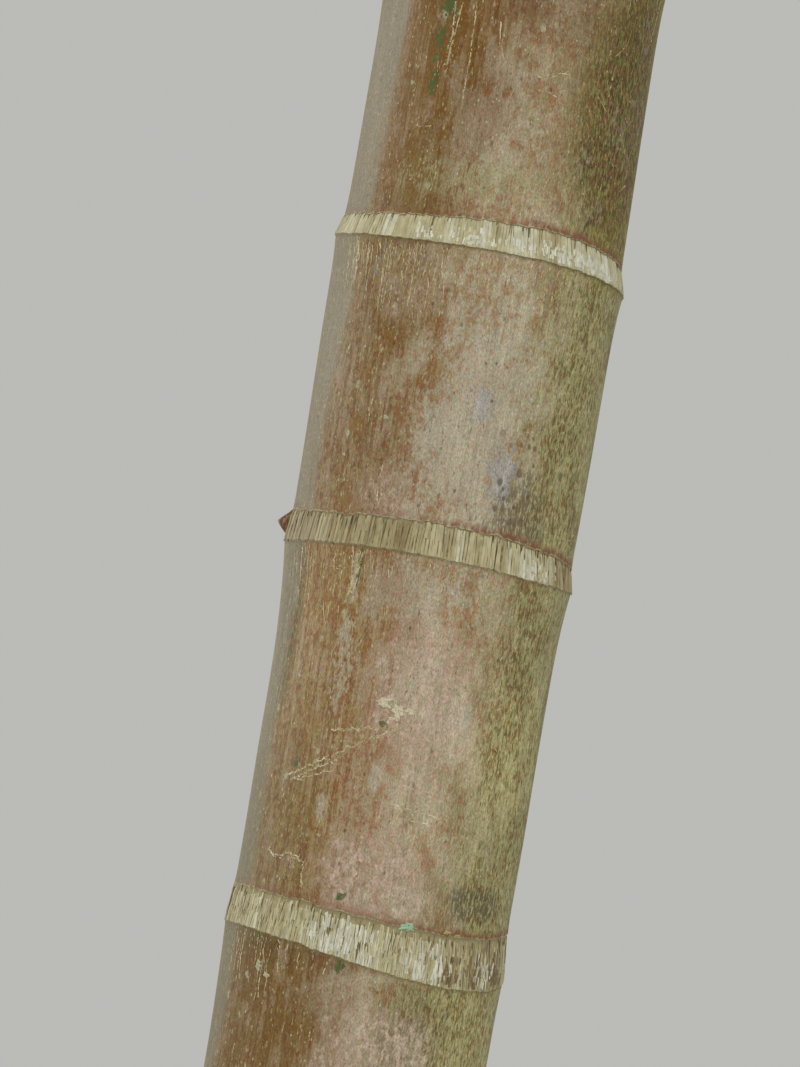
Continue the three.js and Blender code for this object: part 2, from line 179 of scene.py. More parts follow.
LIP_ROWS = [(0.0, -0.0004), (0.0007, 0.0)]  # above the lip's line, and proud of the band's own curve
FINE_ROWS = (  # rows up a ring's band, as shares of its height, above the band, and below the lip
    [0.12, 0.28, 0.45, 0.62, 0.8, 1.0],
    [0.0, 0.0005, 0.0015, 0.004],
    [0.012, 0.006, 0.003, 0.0016, 0.0008, 0.0005],
)
PLAIN_ROWS = ([0.3, 0.65, 1.0], [0.0, 0.003], [0.010, 0.004, 0.0005])
SEAM_IN = 0.004  # where two lengths of stem meet, the upper one starts this far inside the lower
SEAM_BELOW = 0.0003
MAP_WALLS = (0.02, 0.98)  # parts of a skin's own map: its walls, and the caps of its foot and its end
MAP_FOOT = (0.005, 0.015)
MAP_END = (0.995, 0.985)

TRUNK_PARTS = [  # name, points in a row, spacing of the rows away from the rings, and the rows at a ring
    ("trunk_foot", 340, 0.008, FINE_ROWS),
    ("trunk_eye", 452, 0.0046, FINE_ROWS),
    ("trunk_middle", 400, 0.016, PLAIN_ROWS),
    ("trunk_top", 300, 0.02, PLAIN_ROWS),
]
MIDDLE_ENDS = 3.35


def smooth(value, low, high):
    share = np.clip((np.asarray(value, float) - low) / (high - low), 0, 1)
    return share * share * (3 - 2 * share)


def mix(low, high, share):
    return low + (high - low) * share


def bulge(value, middle, reach):
    """1 at the middle, falling to 0 on both sides."""
    return np.exp(-(((value - middle) / reach) ** 2))


def play(which, purpose):
    """The same number from -1 to 1 each time for the same two whole numbers."""
    state = (which * 7919 + purpose * 104729 + 12345) % 2**32
    for _ in range(4):
        state = (state * 1664525 + 1013904223) % 2**32
    return state / 2**32 * 2 - 1


def once_round(count):
    return np.arange(count) * 2 * math.pi / count


def lean_at(place):
    return FOOT_LEAN - BEND_PER_METRE * np.clip(place, 0, TRUNK_LENGTH)


def axis_at(place):
    """The middle line: an arc in the XZ plane, then a straight line."""
    lean = lean_at(place)
    beyond = np.maximum(np.asarray(place, float) - TRUNK_LENGTH, 0)
    x = (np.cos(lean) - math.cos(FOOT_LEAN)) / BEND_PER_METRE + beyond * np.sin(lean)
    z = (math.sin(FOOT_LEAN) - np.sin(lean)) / BEND_PER_METRE + beyond * np.cos(lean)
    return np.stack([x, 0 * x, z], -1)


def on_stem(turn, place, radius):
    """Points at those turns and places, that far from the middle line."""
    place = np.asarray(place, float) + 0 * turn
    tilt = lean_at(place) * smooth(place, 0, LEVEL_FOOT)
    across = radius * np.sin(turn)
    offset = np.stack([across * np.cos(tilt), -radius * np.cos(turn), -across * np.sin(tilt)], -1)
    return axis_at(place) + offset


def ring_scars():
    """Lowest first: the lip's and the band's waves, in metres and radians, and how proud the lip stands."""
    metres = lambda wave: (*(part / 1000 for part in wave[:4]), math.radians(wave[4]))
    eye = zip(EYE_LIPS, EYE_BANDS, EYE_LIPS_PROUD)
    rings = [(metres(lip), metres(band), proud) for lip, band, proud in eye]

    def by_rule(n, lip, band, tilt, worn):
        drop = -math.tan(tilt) * EYE_RADIUS
        wave = (lip, drop, FRONT_PLAY * play(n, 22), TWICE_PLAY * play(n, 21), math.pi * play(n, 23))
        height = (band, BAND_PLAY * band * play(n, 24), 0, BAND_TWICE * band, math.pi * play(n, 25))
        return wave, height, worn * LIP_PROUD

    step, lip, n = STEP_ABOVE, EYE_LIPS[2][0] / 1000, 1
    while lip + step < TRUNK_LENGTH - step / 2:
        lip += step * (1 + STEP_PLAY * play(n, 1))
        band = max(step * BAND_SHARE, LEAST_BAND)
        higher = NEXT_LIP_HIGHER if n == 1 else 0
        rings.append(by_rule(n, lip + higher, band, TILT_PLAY * play(n, 2), 1.0))
        step *= STEP_ABOVE_RATIO
        n += 1
    step, lip, n = STEP_BELOW, EYE_LIPS[0][0] / 1000, 1
    while lip - step > LOWEST_LIP:
        lip -= step * (1 + STEP_PLAY * play(n, 3))
        rings.insert(0, by_rule(100 + n, lip, step * BAND_SHARE, TILT_PLAY * play(n, 4), WORN_BELOW))
        step *= STEP_BELOW_RATIO
        n += 1
    return rings


def wave_at(wave, turn):
    mean, to_right, to_front, twice, twice_at = wave
    return mean + to_right * np.sin(turn) + to_front * np.cos(turn) + twice * np.cos(2 * (turn - twice_at))


def ragged(turn, seed, longest, shortest):
    """An uneven closed line round the stem, about 1 high, with waves between two whole numbers a turn."""
    chance = np.random.default_rng(seed)
    waves = np.arange(longest, shortest)
    phases = chance.uniform(0, 2 * math.pi, len(waves))
    heights = chance.uniform(0.3, 1, len(waves)) * (longest / waves) ** 0.4
    line = np.cos(np.outer(turn, waves) + phases) @ heights
    return line / np.linalg.norm(heights) * math.sqrt(2)


def unevenness(turn, place):
    """Soft swellings of the bark, about 1 high."""
    chance = np.random.default_rng(31)
    total = 0
    for _ in range(DENT_WAVES):
        around = chance.integers(0, DENTS_ROUND)
        along = chance.uniform(*DENTS_ALONG) * 2 * math.pi * chance.choice([-1, 1])
        total = total + np.cos(around * turn + along * place / 4 + chance.uniform(0, 2 * math.pi))
    return total / math.sqrt(DENT_WAVES / 2)


def bark_radius(turn, place):
    taper = (EYE_RADIUS - TOP_RADIUS) * smooth(place, TAPER_STARTS, TAPER_ENDS)
    flare = np.exp(-place / FLARE_REACH)
    eye = EYE_SWELL * bulge(place, EYE_SWELL_AT, EYE_SWELL_REACH) - EYE_WAIST
    eye = eye - EYE_BOW * np.sin(turn) * bulge(place, EYE_BOW_AT, EYE_BOW_REACH)
    eye = eye * smooth(place, *EYE_COMES) * (1 - smooth(place, *EYE_GOES))
    ribs = sum(share * np.cos(many * turn + start) for many, share, start in FOOT_WAVES)
    foot = (FLARE + FOOT_LOBES * ribs) * flare
    return EYE_RADIUS - taper + foot + eye + UNEVEN * unevenness(turn, place)


RINGS = ring_scars()


def ring_lines(number, turn):
    """The uneven lines of a ring's lip and of its band's upper edge."""
    lip_wave, band_wave, _ = RINGS[number]
    lip = wave_at(lip_wave, turn) + LIP_RAGGED * ragged(turn, 500 + number, *LIP_WAVES)
    height = wave_at(band_wave, turn) + BAND_RAGGED * ragged(turn, 700 + number, *BAND_WAVES)
    return lip, lip + np.maximum(height, LEAST_HEIGHT * band_wave[0])


def band_radius(number, turn, place, up):
    """The band falls back from the lip, where up is 0, to just under the bark's edge, where it is 1."""
    proud = RINGS[number][2]
    fall = mix(up, smooth(up, 0, 1), BAND_CURVE)
    fibres = FIBRE_RELIEF * ragged(turn, 900 + number, *FIBRE_WAVES)
    sunk = BAND_SUNK * mix(LEFT_SUNK, 1, smooth(np.sin(turn), *SUNK_SIDE))
    return bark_radius(turn, place) + proud - (proud + sunk) * fall + fibres


def lip_swell(number, below):
    """How far the bark swells out at that depth below a ring's lip."""
    step = RINGS[number][0][0] - (RINGS[number - 1][0][0] if number else 0)
    reach = min(UNDER_LIP_REACH, step / UNDER_LIP_STEPS)
    return UNDER_LIP_SHARE * RINGS[number][2] * np.exp(-below / reach)


def under_lip(number, turn, place, below):
    return bark_radius(turn, place) + lip_swell(number, below)


def unbent(turn, places):
    """Where the points would lie on a straight stem of even thickness, for patterns that follow it."""
    ring = np.stack([EYE_RADIUS * np.sin(turn), -EYE_RADIUS * np.cos(turn)], -1)
    return np.concatenate([np.broadcast_to(ring, (*places.shape, 2)), places[..., None]], -1)


def stem_rows(first, last, columns, spacing, ring_rows):
    """Rows of points from one ring's lip to another's, with what the bark's colours need at each.

    None stands for the ground, or for the stem's top."""
    turn = once_round(columns)
    band_rows, edge_rows, under_rows = ring_rows
    rows = []

    def row(place, radius, on_band, up, under, over):
        marks = np.stack([on_band + 0 * turn, up + 0 * turn, under + 0 * turn, over + 0 * turn], -1)
        rows.append((on_stem(turn, place, radius), place + 0 * turn, marks))

    numbers = range(0 if first is None else first, len(RINGS) if last is None else last + 1)
    if first is None:
        edge = 0 * turn
        row(edge, bark_radius(turn, edge), 0, 0, 1, 1)
    for number in numbers:
        lip, top = ring_lines(number, turn)
        if first is None or number > first:
            start = edge + (edge_rows[-1] if rows else 0)
            end = lip - under_rows[0]
            count = max(2, round(float((end - start).mean()) / spacing))
            for step in range(1, count):
                place = mix(start, end, step / count)
                row(place, under_lip(number, turn, place, lip - place), 0, 0, lip - place, place - edge)
            for below in under_rows:
                place = lip - below
                row(place, under_lip(number, turn, place, below), 0, 0, below, place - edge)
        if number == last:
            break
        if not rows:
            row(lip - SEAM_BELOW, bark_radius(turn, lip) - SEAM_IN, 1, 0, 0, 1)
        for above, proud in LIP_ROWS:
            row(lip + above, band_radius(number, turn, lip, 0) + proud, 1, 0, 0, 0)
        for up in band_rows:
            place = mix(lip, top, up)
            row(place, band_radius(number, turn, place, up), 1, up, 0, 0)
        edge = top
        for above in edge_rows:
            place = edge + above
            proud = BARK_EDGE_PROUD * math.exp(-above / BARK_EDGE_REACH)
            row(place, bark_radius(turn, place) + proud, 0, 0, 1, above)
    if last is None:
        count = round((TRUNK_LENGTH - float(edge.mean())) / spacing * 2)
        for step in range(1, count + 1):
            place = mix(edge + edge_rows[-1], TRUNK_LENGTH, step / count)
            row(place, bark_radius(turn, place), 0, 0, 1, place - edge)
    points, places, marks = (np.stack(part) for part in zip(*rows))
    fields = {"straight": unbent(turn, places), "ring_marks": marks[..., :3], "above_ring": marks[..., 3]}
    return points, fields


def wall_faces(count, columns, clockwise=False):
    """Quads over rows of points, each row closing on itself, for rows that run either way round."""
    here, low = np.arange(columns), (np.arange(count - 1) * columns)[:, None]
    after = (here + 1) % columns
    quads = np.stack([low + here, low + after, low + columns + after, low + columns + here], -1)
    return quads.reshape(-1, 4)[:, [0, 3, 2, 1] if clockwise else [0, 1, 2, 3]]


def closed_skin(name, rows, marks):
    """A mesh over rows of points, each row closing on itself, capped at both ends, with its own map."""
    count, columns = rows.shape[:2]
    here = np.arange(columns)
    after = (here + 1) % columns
    walls = wall_faces(count, columns)
    foot, end = count * columns, (count - 1) * columns
    foot_cap = np.stack([foot + 0 * here, after, here], -1)
    end_cap = np.stack([foot + 1 + 0 * here, end + here, end + after], -1)
    corners = np.concatenate([walls.ravel(), foot_cap.ravel(), end_cap.ravel()])
    starts = np.concatenate([np.arange((count - 1) * columns) * 4, walls.size + 3 * np.arange(2 * columns)])

    with_ends = lambda values: np.concatenate(
        [values.reshape(-1, *values.shape[2:]), values[:1].mean(1), values[-1:].mean(1)]
    )
    mesh = bpy.data.meshes.new(name)
    mesh.vertices.add(foot + 2)
    mesh.vertices.foreach_set("co", with_ends(rows).astype(np.float32).ravel())
    mesh.loops.add(len(corners))
    mesh.loops.foreach_set("vertex_index", corners.astype(np.int32))
    mesh.polygons.add(len(starts))
    mesh.polygons.foreach_set("loop_start", starts.astype(np.int32))
    mesh.polygons.foreach_set("use_smooth", np.ones(len(starts), bool))
    mesh.update(calc_edges=True)

    length = np.concatenate([[0], np.cumsum(np.linalg.norm(np.diff(rows, axis=0), axis=2).mean(1))])
    v = mix(*MAP_WALLS, length / length[-1])
    left, rightward = here / columns, (here + 1) / columns
    wall_map = np.zeros((count - 1, columns, 4, 2))
    wall_map[..., 0] = np.stack([left, rightward, rightward, left], -1)
    wall_map[..., 1] = np.stack([v[:-1], v[:-1], v[1:], v[1:]], -1)[:, None]
    middle = (left + rightward) / 2
    flat = lambda height, far: np.stack([height + 0 * left, far + 0 * left, far + 0 * left], -1)
    foot_map = np.stack([np.stack([middle, rightward, left], -1), flat(*MAP_FOOT)], -1)
    end_map = np.stack([np.stack([middle, left, rightward], -1), flat(*MAP_END)], -1)
    own_map = mesh.uv_layers.new(name="OFBake")
    corners_map = np.concatenate([wall_map.reshape(-1, 2), foot_map.reshape(-1, 2), end_map.reshape(-1, 2)])
    own_map.data.foreach_set("uv", corners_map.astype(np.float32).ravel())
    for mark, values in marks.items():
        wide = values.ndim == 3
        layer = mesh.attributes.new(mark, "FLOAT_VECTOR" if wide else "FLOAT", "POINT")
        layer.data.foreach_set("vector" if wide else "value", with_ends(values).astype(np.float32).ravel())
    return mesh


def tone(red, green, blue):
    """A colour as seen on a screen, 0 to 255 each, as the renderer takes it."""
    shares = (red / 255, green / 255, blue / 255)
    return (*(((c + 0.055) / 1.055) ** 2.4 if c > 0.04 else c / 12.92 for c in shares), 1.0)


def put(tree, kind, fed=None, **choices):
    """Adds a node to a tree, with its own choices, and its inputs fed by sockets or plain values."""
    node = tree.nodes.new(kind)
    for name, value in choices.items():
        setattr(node, name, value)
    for key, value in (fed or {}).items():
        if isinstance(value, bpy.types.NodeSocket):
            tree.links.new(value, node.inputs[key])
        else:
            node.inputs[key].default_value = value
    return node


class Finish:
    """A material. Its colour is laid on in layers, and its roughness and relief are worked out by nodes."""

    def __init__(self, name, roughness=0.6, colour=None):
        self.material = bpy.data.materials.new(name)
        self.material.use_nodes = True
        self.tree = self.material.node_tree
        self.shader = self.tree.nodes["Principled BSDF"]
        self.shader.inputs["Roughness"].default_value = roughness
        self.colour = colour

    def mark(self, name, output="Vector"):
        return put(self.tree, "ShaderNodeAttribute", attribute_name=name).outputs[output]

    def own_place(self):
        return put(self.tree, "ShaderNodeTexCoord").outputs["Object"]

    def split(self, vector):
        return put(self.tree, "ShaderNodeSeparateXYZ", {0: vector}).outputs

    def scaled(self, place, across, along, shift):
        moved, size = (shift, 1.7 * shift, 2.3 * shift), (across, across, along)
        fed = {"Vector": place, "Location": moved, "Scale": size}
        return put(self.tree, "ShaderNodeMapping", fed).outputs[0]

    def cloud(self, place, across, along, shift, detail=2.0, rough=0.5):
        """Soft noise from 0 to 1, with that many waves a metre across the stem and along it."""
        scaled = self.scaled(place, across, along, shift)
        fed = {"Vector": scaled, "Scale": 1.0, "Detail": detail, "Roughness": rough, "Distortion": 0.0}
        return put(self.tree, "ShaderNodeTexNoise", fed).outputs[0]

    def spots(self, place, across, along, shift, size, share):
        """Round spots in some of the cells: their size as a share of a cell, and how many have one."""
        fed = {"Vector": self.scaled(place, across, along, shift), "Scale": 1.0}
        distance, random_colour = put(self.tree, "ShaderNodeTexVoronoi", fed).outputs[:2]
        chosen = self.falling(self.split(random_colour)[0], share - 0.01, share + 0.01)
        return self.all_of(self.falling(distance, size * 0.55, size), chosen)

    def between(self, value, low, high, start=0.0, end=1.0):
        """From start, where the value is low or less, to end, where it is high or more."""
        fed = {"Value": value, "From Min": low, "From Max": high, "To Min": start, "To Max": end}
        return put(self.tree, "ShaderNodeMapRange", fed, interpolation_type="SMOOTHSTEP").outputs[0]

    def falling(self, value, low, high):
        return self.between(value, low, high, 1.0, 0.0)

    def ranging(self, noise, start, end):
        """From start, where a noise is low, to end, where it is high."""
        return self.between(noise, 0.3, 0.7, start, end)

    def maths(self, kind, first, *others):
        for other in others:
            first = put(self.tree, "ShaderNodeMath", {0: first, 1: other}, operation=kind).outputs[0]
        return first

    def plus(self, *values):
        return self.maths("ADD", *values)

    def all_of(self, *shares):
        return self.maths("MULTIPLY", *shares)

    def any_of(self, *shares):
        return self.maths("MAXIMUM", *shares)

    def not_in(self, share):
        return self.maths("SUBTRACT", 1.0, share)

    def swing(self, noise, much):
        """A noise that swings about 0, that strong."""
        return self.all_of(self.maths("SUBTRACT", noise, 0.5), much)

    def blend(self, share, below, above):
        fed = {0: share, 2: below, 3: above}
        return put(self.tree, "ShaderNodeMix", fed, data_type="FLOAT").outputs[0]

    def coloured(self, share, below, above, how="MIX"):
        """One colour over another, or multiplied by it, as far as the share goes."""
        fed = {0: share, 6: below, 7: above}
        return put(self.tree, "ShaderNodeMix", fed, data_type="RGBA", blend_type=how).outputs[2]

    def lay(self, colour, *shares):
        """Lays a colour over what is there, as far as all the shares allow."""
        self.colour = self.coloured(self.all_of(*shares), self.colour, colour)

    def tint(self, colour, *shares):
        """Multiplies what is there by a colour, as far as all the shares allow."""
        self.colour = self.coloured(self.all_of(*shares), self.colour, colour, "MULTIPLY")

    def shade(self, value):
        """Makes what is there darker or lighter by a factor."""
        fed = {0: self.colour[:3] if isinstance(self.colour, tuple) else self.colour, "Scale": value}
        self.colour = put(self.tree, "ShaderNodeVectorMath", fed, operation="SCALE").outputs[0]

    def done(self, height, depth, roughness=None):
        self.tree.links.new(self.colour, self.shader.inputs["Base Color"])
        if roughness is not None:
            self.tree.links.new(roughness, self.shader.inputs["Roughness"])
        bump = put(self.tree, "ShaderNodeBump", {"Height": height, "Distance": depth})
        self.tree.links.new(bump.outputs[0], self.shader.inputs["Normal"])
        return self.material


BARK_PALE = [tone(158, 128, 76), tone(182, 170, 144), tone(155, 150, 102)]  # left, front, right
BARK_DEEP = [tone(102, 68, 34), tone(146, 122, 92), tone(105, 90, 50)]
BARK_RUST = tone(144, 104, 74)
BARK_ROSE = tone(168, 142, 112)
BARK_WINE = tone(118, 82, 58)
BARK_MOSS = tone(148, 146, 104)
BARK_PINK = tone(182, 162, 146)
BARK_ORANGE = tone(136, 94, 44)
# Grey of the coat along the left edge, partly bloom and partly painted sheen
BARK_COAT_AND_SHEEN = tone(131, 124, 101)
BARK_DARK = tone(80, 54, 26)
BARK_OLIVE = tone(146, 134, 64)
BARK_GREEN = tone(116, 128, 66)
BARK_DAMP = tone(96, 88, 60)
TORN_CREAM = tone(190, 176, 136)
PIT_BROWN = tone(74, 58, 40)
LICHEN_GREY = tone(178, 173, 156)
LICHEN_BLUE = tone(158, 155, 154)
LICHEN_MINT = tone(166, 170, 140)
DUST_CREAM = tone(206, 196, 164)
SPOT_GREY = tone(92, 86, 66)
SCRAPE_GREEN = tone(66, 90, 44)
BAND_UNDER = tone(150, 138, 98)
BAND_SHADE = tone(112, 94, 62)
BAND_TOP = tone(174, 164, 124)
EDGE_CREAM = tone(190, 182, 144)
# Red-brown of the stain above a ring's band, partly painted shadow under the bark's edge
EDGE_RED_AND_SHADOW = tone(122, 78, 56)
AMBER_TINT = (0.88, 0.86, 0.62, 1)  # what the colour below is multiplied by
LOW_LEFT_TINT = (0.77, 0.80, 0.74, 1)
TOP_TINT = (0.86, 0.82, 0.76, 1)
TOP_RIGHT_TINT = (0.78, 0.70, 0.66, 1)
RIGHT_EDGE_TINT = (0.82, 0.78, 0.44, 1)
BARK_GLOSS = 0.2
BARK_ROUGHNESS = (0.48, 0.68)
BARK_RELIEF = 0.0006
EDGE_SWAY = [("patchy", 0.35), ("streak", 0.5), ("wide", 0.5)]  # what makes the edges of its sides uneven

BARK_NOISES = {  # waves a metre across the stem and along it, shift, detail and roughness
    "wide": (15, 7, 1.0, 4, 0.6),
    "patchy": (62, 36, 5.0, 4, 0.65),
    "fleck": (380, 230, 9.0, 3, 0.6),
    "streak": (430, 24, 2.0, 4, 0.62),
    "dash": (820, 230, 4.0, 2, 0.55),
    "grain": (1500, 700, 3.0, 1, 0.5),
    "hue": (310, 190, 21.0, 2, 0.5),
    "tick": (900, 210, 12.0, 2, 0.6),
    "seam": (150, 8, 14.0, 2, 0.5),
}
BARK_SPOTS = {  # cells a metre across the stem and along it, shift, size of a spot, share of cells with one
    "mint": (110, 85, 21.0, 0.26, 0.4),
    "cream": (150, 95, 2.0, 0.15, 0.30),
    "fine cream": (330, 210, 6.0, 0.2, 0.22),
    "dust": (620, 330, 27.0, 0.32, 0.14),
    "pits": (180, 120, 3.0, 0.18, 0.2),
    "fine pits": (230, 170, 11.0, 0.34, 0.7),
    "large pits": (120, 90, 31.0, 0.3, 0.8),
}
BARK_SIDES = {  # the turn in degrees that a side faces, and where it comes in and is whole
    "left": (-46, 0.54, 1.0),
    "narrow left": (-55, 0.54, 1.0),
    "back": (150, 0.6, 0.95),
    "right": (76, 0.48, 0.9),
    "low right": (62, 0.5, 0.86),
    "rust": (-14, 0.5, 0.95),
    "amber": (-46, 0.88, 1.0),
    "far left": (-66, 0.76, 0.98),
    "front": (-6, 0.55, 0.95),
    "lighter": (52, 0.8, 1.0),
    "top": (18, 0.84, 0.99),
    "top right": (40, 0.72, 0.97),
    "right edge": (72, 0.86, 1.0),
    "pitted": (75, 0.6, 0.9),
}
BARK_ZONES = {  # heights where a zone comes in and is whole, and where it fades and is gone
    "damp": (None, (0.02, 0.7)),
    "grey foot": (None, (0.0, 0.55)),
    "cracked": (None, (0.3, 0.8)),
    "lower": (None, (1.25, 1.27)),
    "over the first ring": ((1.25, 1.27), (1.29, 1.33)),
    "rosy": ((1.262, 1.29), (1.54, 1.66)),
    "low coat and sheen": (None, (1.30, 1.42)),
    "far left": (None, (1.34, 1.43)),
    "upper": ((1.46, 1.52), (1.68, 1.74)),
    "golden": ((1.49, 1.51), None),
    "right edge": ((1.64, 1.66), None),
    "more golden": ((1.66, 1.70), None),
    "top": ((1.682, 1.70), None),
    "more amber": ((1.682, 1.72), None),
    "top right": ((1.765, 1.795), None),
    "young": ((2.9, 5.0), None),
}
LEFT_DARKER = [(1.485, 1.505, 0.0, 0.2), (1.66, 1.675, 0.0, 0.1), (1.262, 1.275, 0.3, 0.0)]
LOW_SHADE = (1.262, 1.272, 0.94, 1.0)  # two heights, and the shade below the first and above the second
# The coat of grey bloom and painted sheen along the left edge:
COAT_AND_SHEEN_TURN = -92
COAT_AND_SHEEN_SHIFTS = [(1.45, 1.60, -0.08, -0.02), (1.62, 1.76, 0.0, 0.07)]  # how its edge moves between heights
# The turn where the stain and painted shadow above the bands are strongest
STAIN_AND_SHADOW_TURN = 62

# Each patch: its turn in degrees, its place, half width and half height in millimetres, the noise of its
# edge, how uneven that is, and how strong the patch is.
BARK_PATCHES = {
    "pink": [
        (5, 1410, 35, 55, "patchy", 0.6, 1),
        (-2, 1310, 40, 30, "patchy", 0.6, 1),
        (12, 1215, 40, 30, "patchy", 0.6, 1),
        (-25, 1513, 22, 24, "both", 1.6, 0.7),
        (-22, 1633, 22, 30, "both", 1.8, 0.5),
    ],
    "dimmed": [(23, 1225, 28, 40, "patchy", 0.6, 0.2)],
    "lighter": [(54, 1390, 45, 45, "patchy", 0.6, 0.2)],
    "dark": [(58, 1745, 46, 85, "patchy", 0.6, 1), (-66, 1440, 16, 70, "patchy", 0.6, 1)],
    "lichen": [
        (-29, 1470, 3, 16, "fleck", 1.2, 1),
        (-30, 1440, 4, 10, "fleck", 1.2, 1),
        (24, 1404, 6, 12, "fleck", 0.7, 1),
        (-7, 1364, 6, 10, "fleck", 0.7, 1),
        (-28, 1343, 4, 9, "fleck", 0.9, 1),
    ],
    "lichen column": [(-29, 1424, 7, 34, "both", 1.8, 1)],
    "greyed": [
        (9, 1560, 34, 90, "both", 1.6, 0.5),
        (-8, 1724, 26, 34, "both", 2.0, 0.2),
        (-6, 1466, 36, 20, "both", 2.0, 0.3),
        (-8, 1238, 24, 20, "both", 2.0, 0.16),
    ],
    "belt": [(-12, 1694, 55, 12, "patchy", 1.0, 1)],
    "bluish": [(22, 1536, 10, 16, "fleck", 1.4, 1), (9, 1573, 7, 10, "fleck", 1.6, 1)],
    "fine pits": [(30, 1535, 22, 34, "patchy", 0.6, 1), (47, 1300, 22, 14, "patchy", 0.6, 1)],
    "large pits": [(32, 1532, 30, 46, "patchy", 0.8, 1)],
    "spotted": [(46, 1303, 24, 12, "patchy", 0.9, 1), (33, 1515, 20, 26, "patchy", 1.2, 0.8)],
    "scraped": [
        (-30.5, 1788, 4, 8, "fleck", 2.2, 1),
        (-32, 1768, 2.4, 10, "fleck", 2.2, 1),
        (-31.5, 1745, 3, 7, "fleck", 2.2, 1),
        (-9, 1260, 3, 3.5, "fleck", 1.6, 1),
        (-13, 1297, 3.5, 2.2, "fleck", 1.6, 1),
        (-48, 1267, 2, 2, "fleck", 1.4, 1),
        (-8, 1393, 2.6, 1.6, "fleck", 1.6, 1),
        (-44, 1363, 2.2, 2.6, "fleck", 1.6, 1),
        (-28, 1474, 2, 12, "streak", 1.3, 0.7),
    ],
}


class Bark(Finish):
    """The bark's finish, with the noises, sides, zones and patches that cut out its layers."""

    def __init__(self):
        super().__init__("bark")
        self.shader.inputs["Specular IOR Level"].default_value = BARK_GLOSS
        self.straight = self.mark("straight")
        self.height = self.split(self.straight)[2]
        self.on_band, self.band_up, self.under = self.split(self.mark("ring_marks"))
        self.over = self.mark("above_ring", "Fac")
        for name, waves in BARK_NOISES.items():
            setattr(self, name, self.cloud(self.straight, *waves))
        self.both = self.all_of(self.plus(self.fleck, self.patchy), 0.5)
        self.fine = self.all_of(self.plus(self.streak, self.fleck), 0.5)
        self.sway = self.plus(*(self.swing(getattr(self, noise), much) for noise, much in EDGE_SWAY))
        self.lower = self.zone("lower")
        self.narrower = self.any_of(self.zone("upper"), self.all_of(self.lower, 0.7))
        left = self.blend(self.narrower, self.side("left"), self.side("narrow left"))
        self.to_left = self.any_of(left, self.side("back"))
        self.to_right = self.blend(self.lower, self.side("right"), self.side("low right"))

    def toward(self, degrees):
        """1 where the bark faces that turn, 0 a quarter round from it and -1 at the back."""
        turn = math.radians(degrees)
        fed = {0: self.straight, 1: (math.sin(turn) / EYE_RADIUS, -math.cos(turn) / EYE_RADIUS, 0)}
        return put(self.tree, "ShaderNodeVectorMath", fed, operation="DOT_PRODUCT").outputs["Value"]

    def side(self, name):
        """1 in the middle of a side of the stem, 0 away from it, with a swaying edge."""
        degrees, low, high = BARK_SIDES[name]
        return self.between(self.plus(self.toward(degrees), self.sway), low, high)

    def zone(self, name):
        """1 between the heights of a zone, 0 below and above it."""
        comes, goes = BARK_ZONES[name]
        shares = [self.between(self.height, *comes)] if comes else []
        if goes:
            shares.append(self.falling(self.height, *goes))
        return self.all_of(*shares)

    def dots(self, name):
        return self.spots(self.straight, *BARK_SPOTS[name])

    def patch(self, degrees, place, across, along, noise, uneven, strength):
        """Its strength in the middle of a patch, and 0 outside its ragged edge."""
        turn = math.radians(degrees)
        middle = (EYE_RADIUS * math.sin(turn), -EYE_RADIUS * math.cos(turn), place / 1000)
        vectors = lambda kind, fed: put(self.tree, "ShaderNodeVectorMath", fed, operation=kind).outputs
        away = vectors("SUBTRACT", {0: self.straight, 1: middle})[0]
        sized = vectors("MULTIPLY", {0: away, 1: (1000 / across, 1000 / across, 1000 / along)})[0]
        swing = self.swing(getattr(self, noise), 2 * uneven)
        far = self.plus(vectors("LENGTH", {0: sized})["Value"], swing)
        return self.all_of(self.falling(far, 0.55, 1.1), *([strength] if strength < 1 else []))

    def patches(self, name):
        return self.any_of(*(self.patch(*row) for row in BARK_PATCHES[name]))


def lay_sides(f):
    """Browner to the left of the front, olive to the right and grey between them, each in a pale and a deep
    tone that upright fibres, flecks and dashes share out."""
    rosy = f.all_of(f.zone("rosy"), 0.75)
    pale, deep = (
        f.coloured(f.to_right, f.coloured(f.to_left, front, f.coloured(rosy, left, reddened)), right)
        for (left, front, right), reddened in ((BARK_PALE, BARK_ROSE), (BARK_DEEP, BARK_WINE))
    )
    upright = f.between(f.plus(f.fleck, f.swing(f.streak, 0.9)), 0.36, 0.64)
    mottled = f.between(f.plus(f.fleck, f.swing(f.patchy, 0.35)), 0.36, 0.62)
    dashed = f.between(f.plus(f.dash, f.swing(f.patchy, 0.6)), 0.44, 0.62)
    f.colour = f.coloured(f.blend(f.to_right, f.blend(f.to_left, mottled, upright), dashed), pale, deep)

    rust = f.between(f.plus(f.fine, f.swing(f.patchy, 0.8)), 0.47, 0.66)
    rust = f.all_of(rust, f.side("rust"), f.not_in(f.all_of(f.narrower, 0.5)))
    f.lay(BARK_RUST, rust, f.between(f.fleck, 0.35, 0.6, 0.15, 0.6))
    f.lay(BARK_MOSS, f.between(f.hue, 0.5, 0.6, 0.0, 0.45), f.not_in(f.all_of(f.to_left, 0.4)))
    f.lay(BARK_RUST, f.between(f.hue, 0.38, 0.47, 0.32, 0.0))


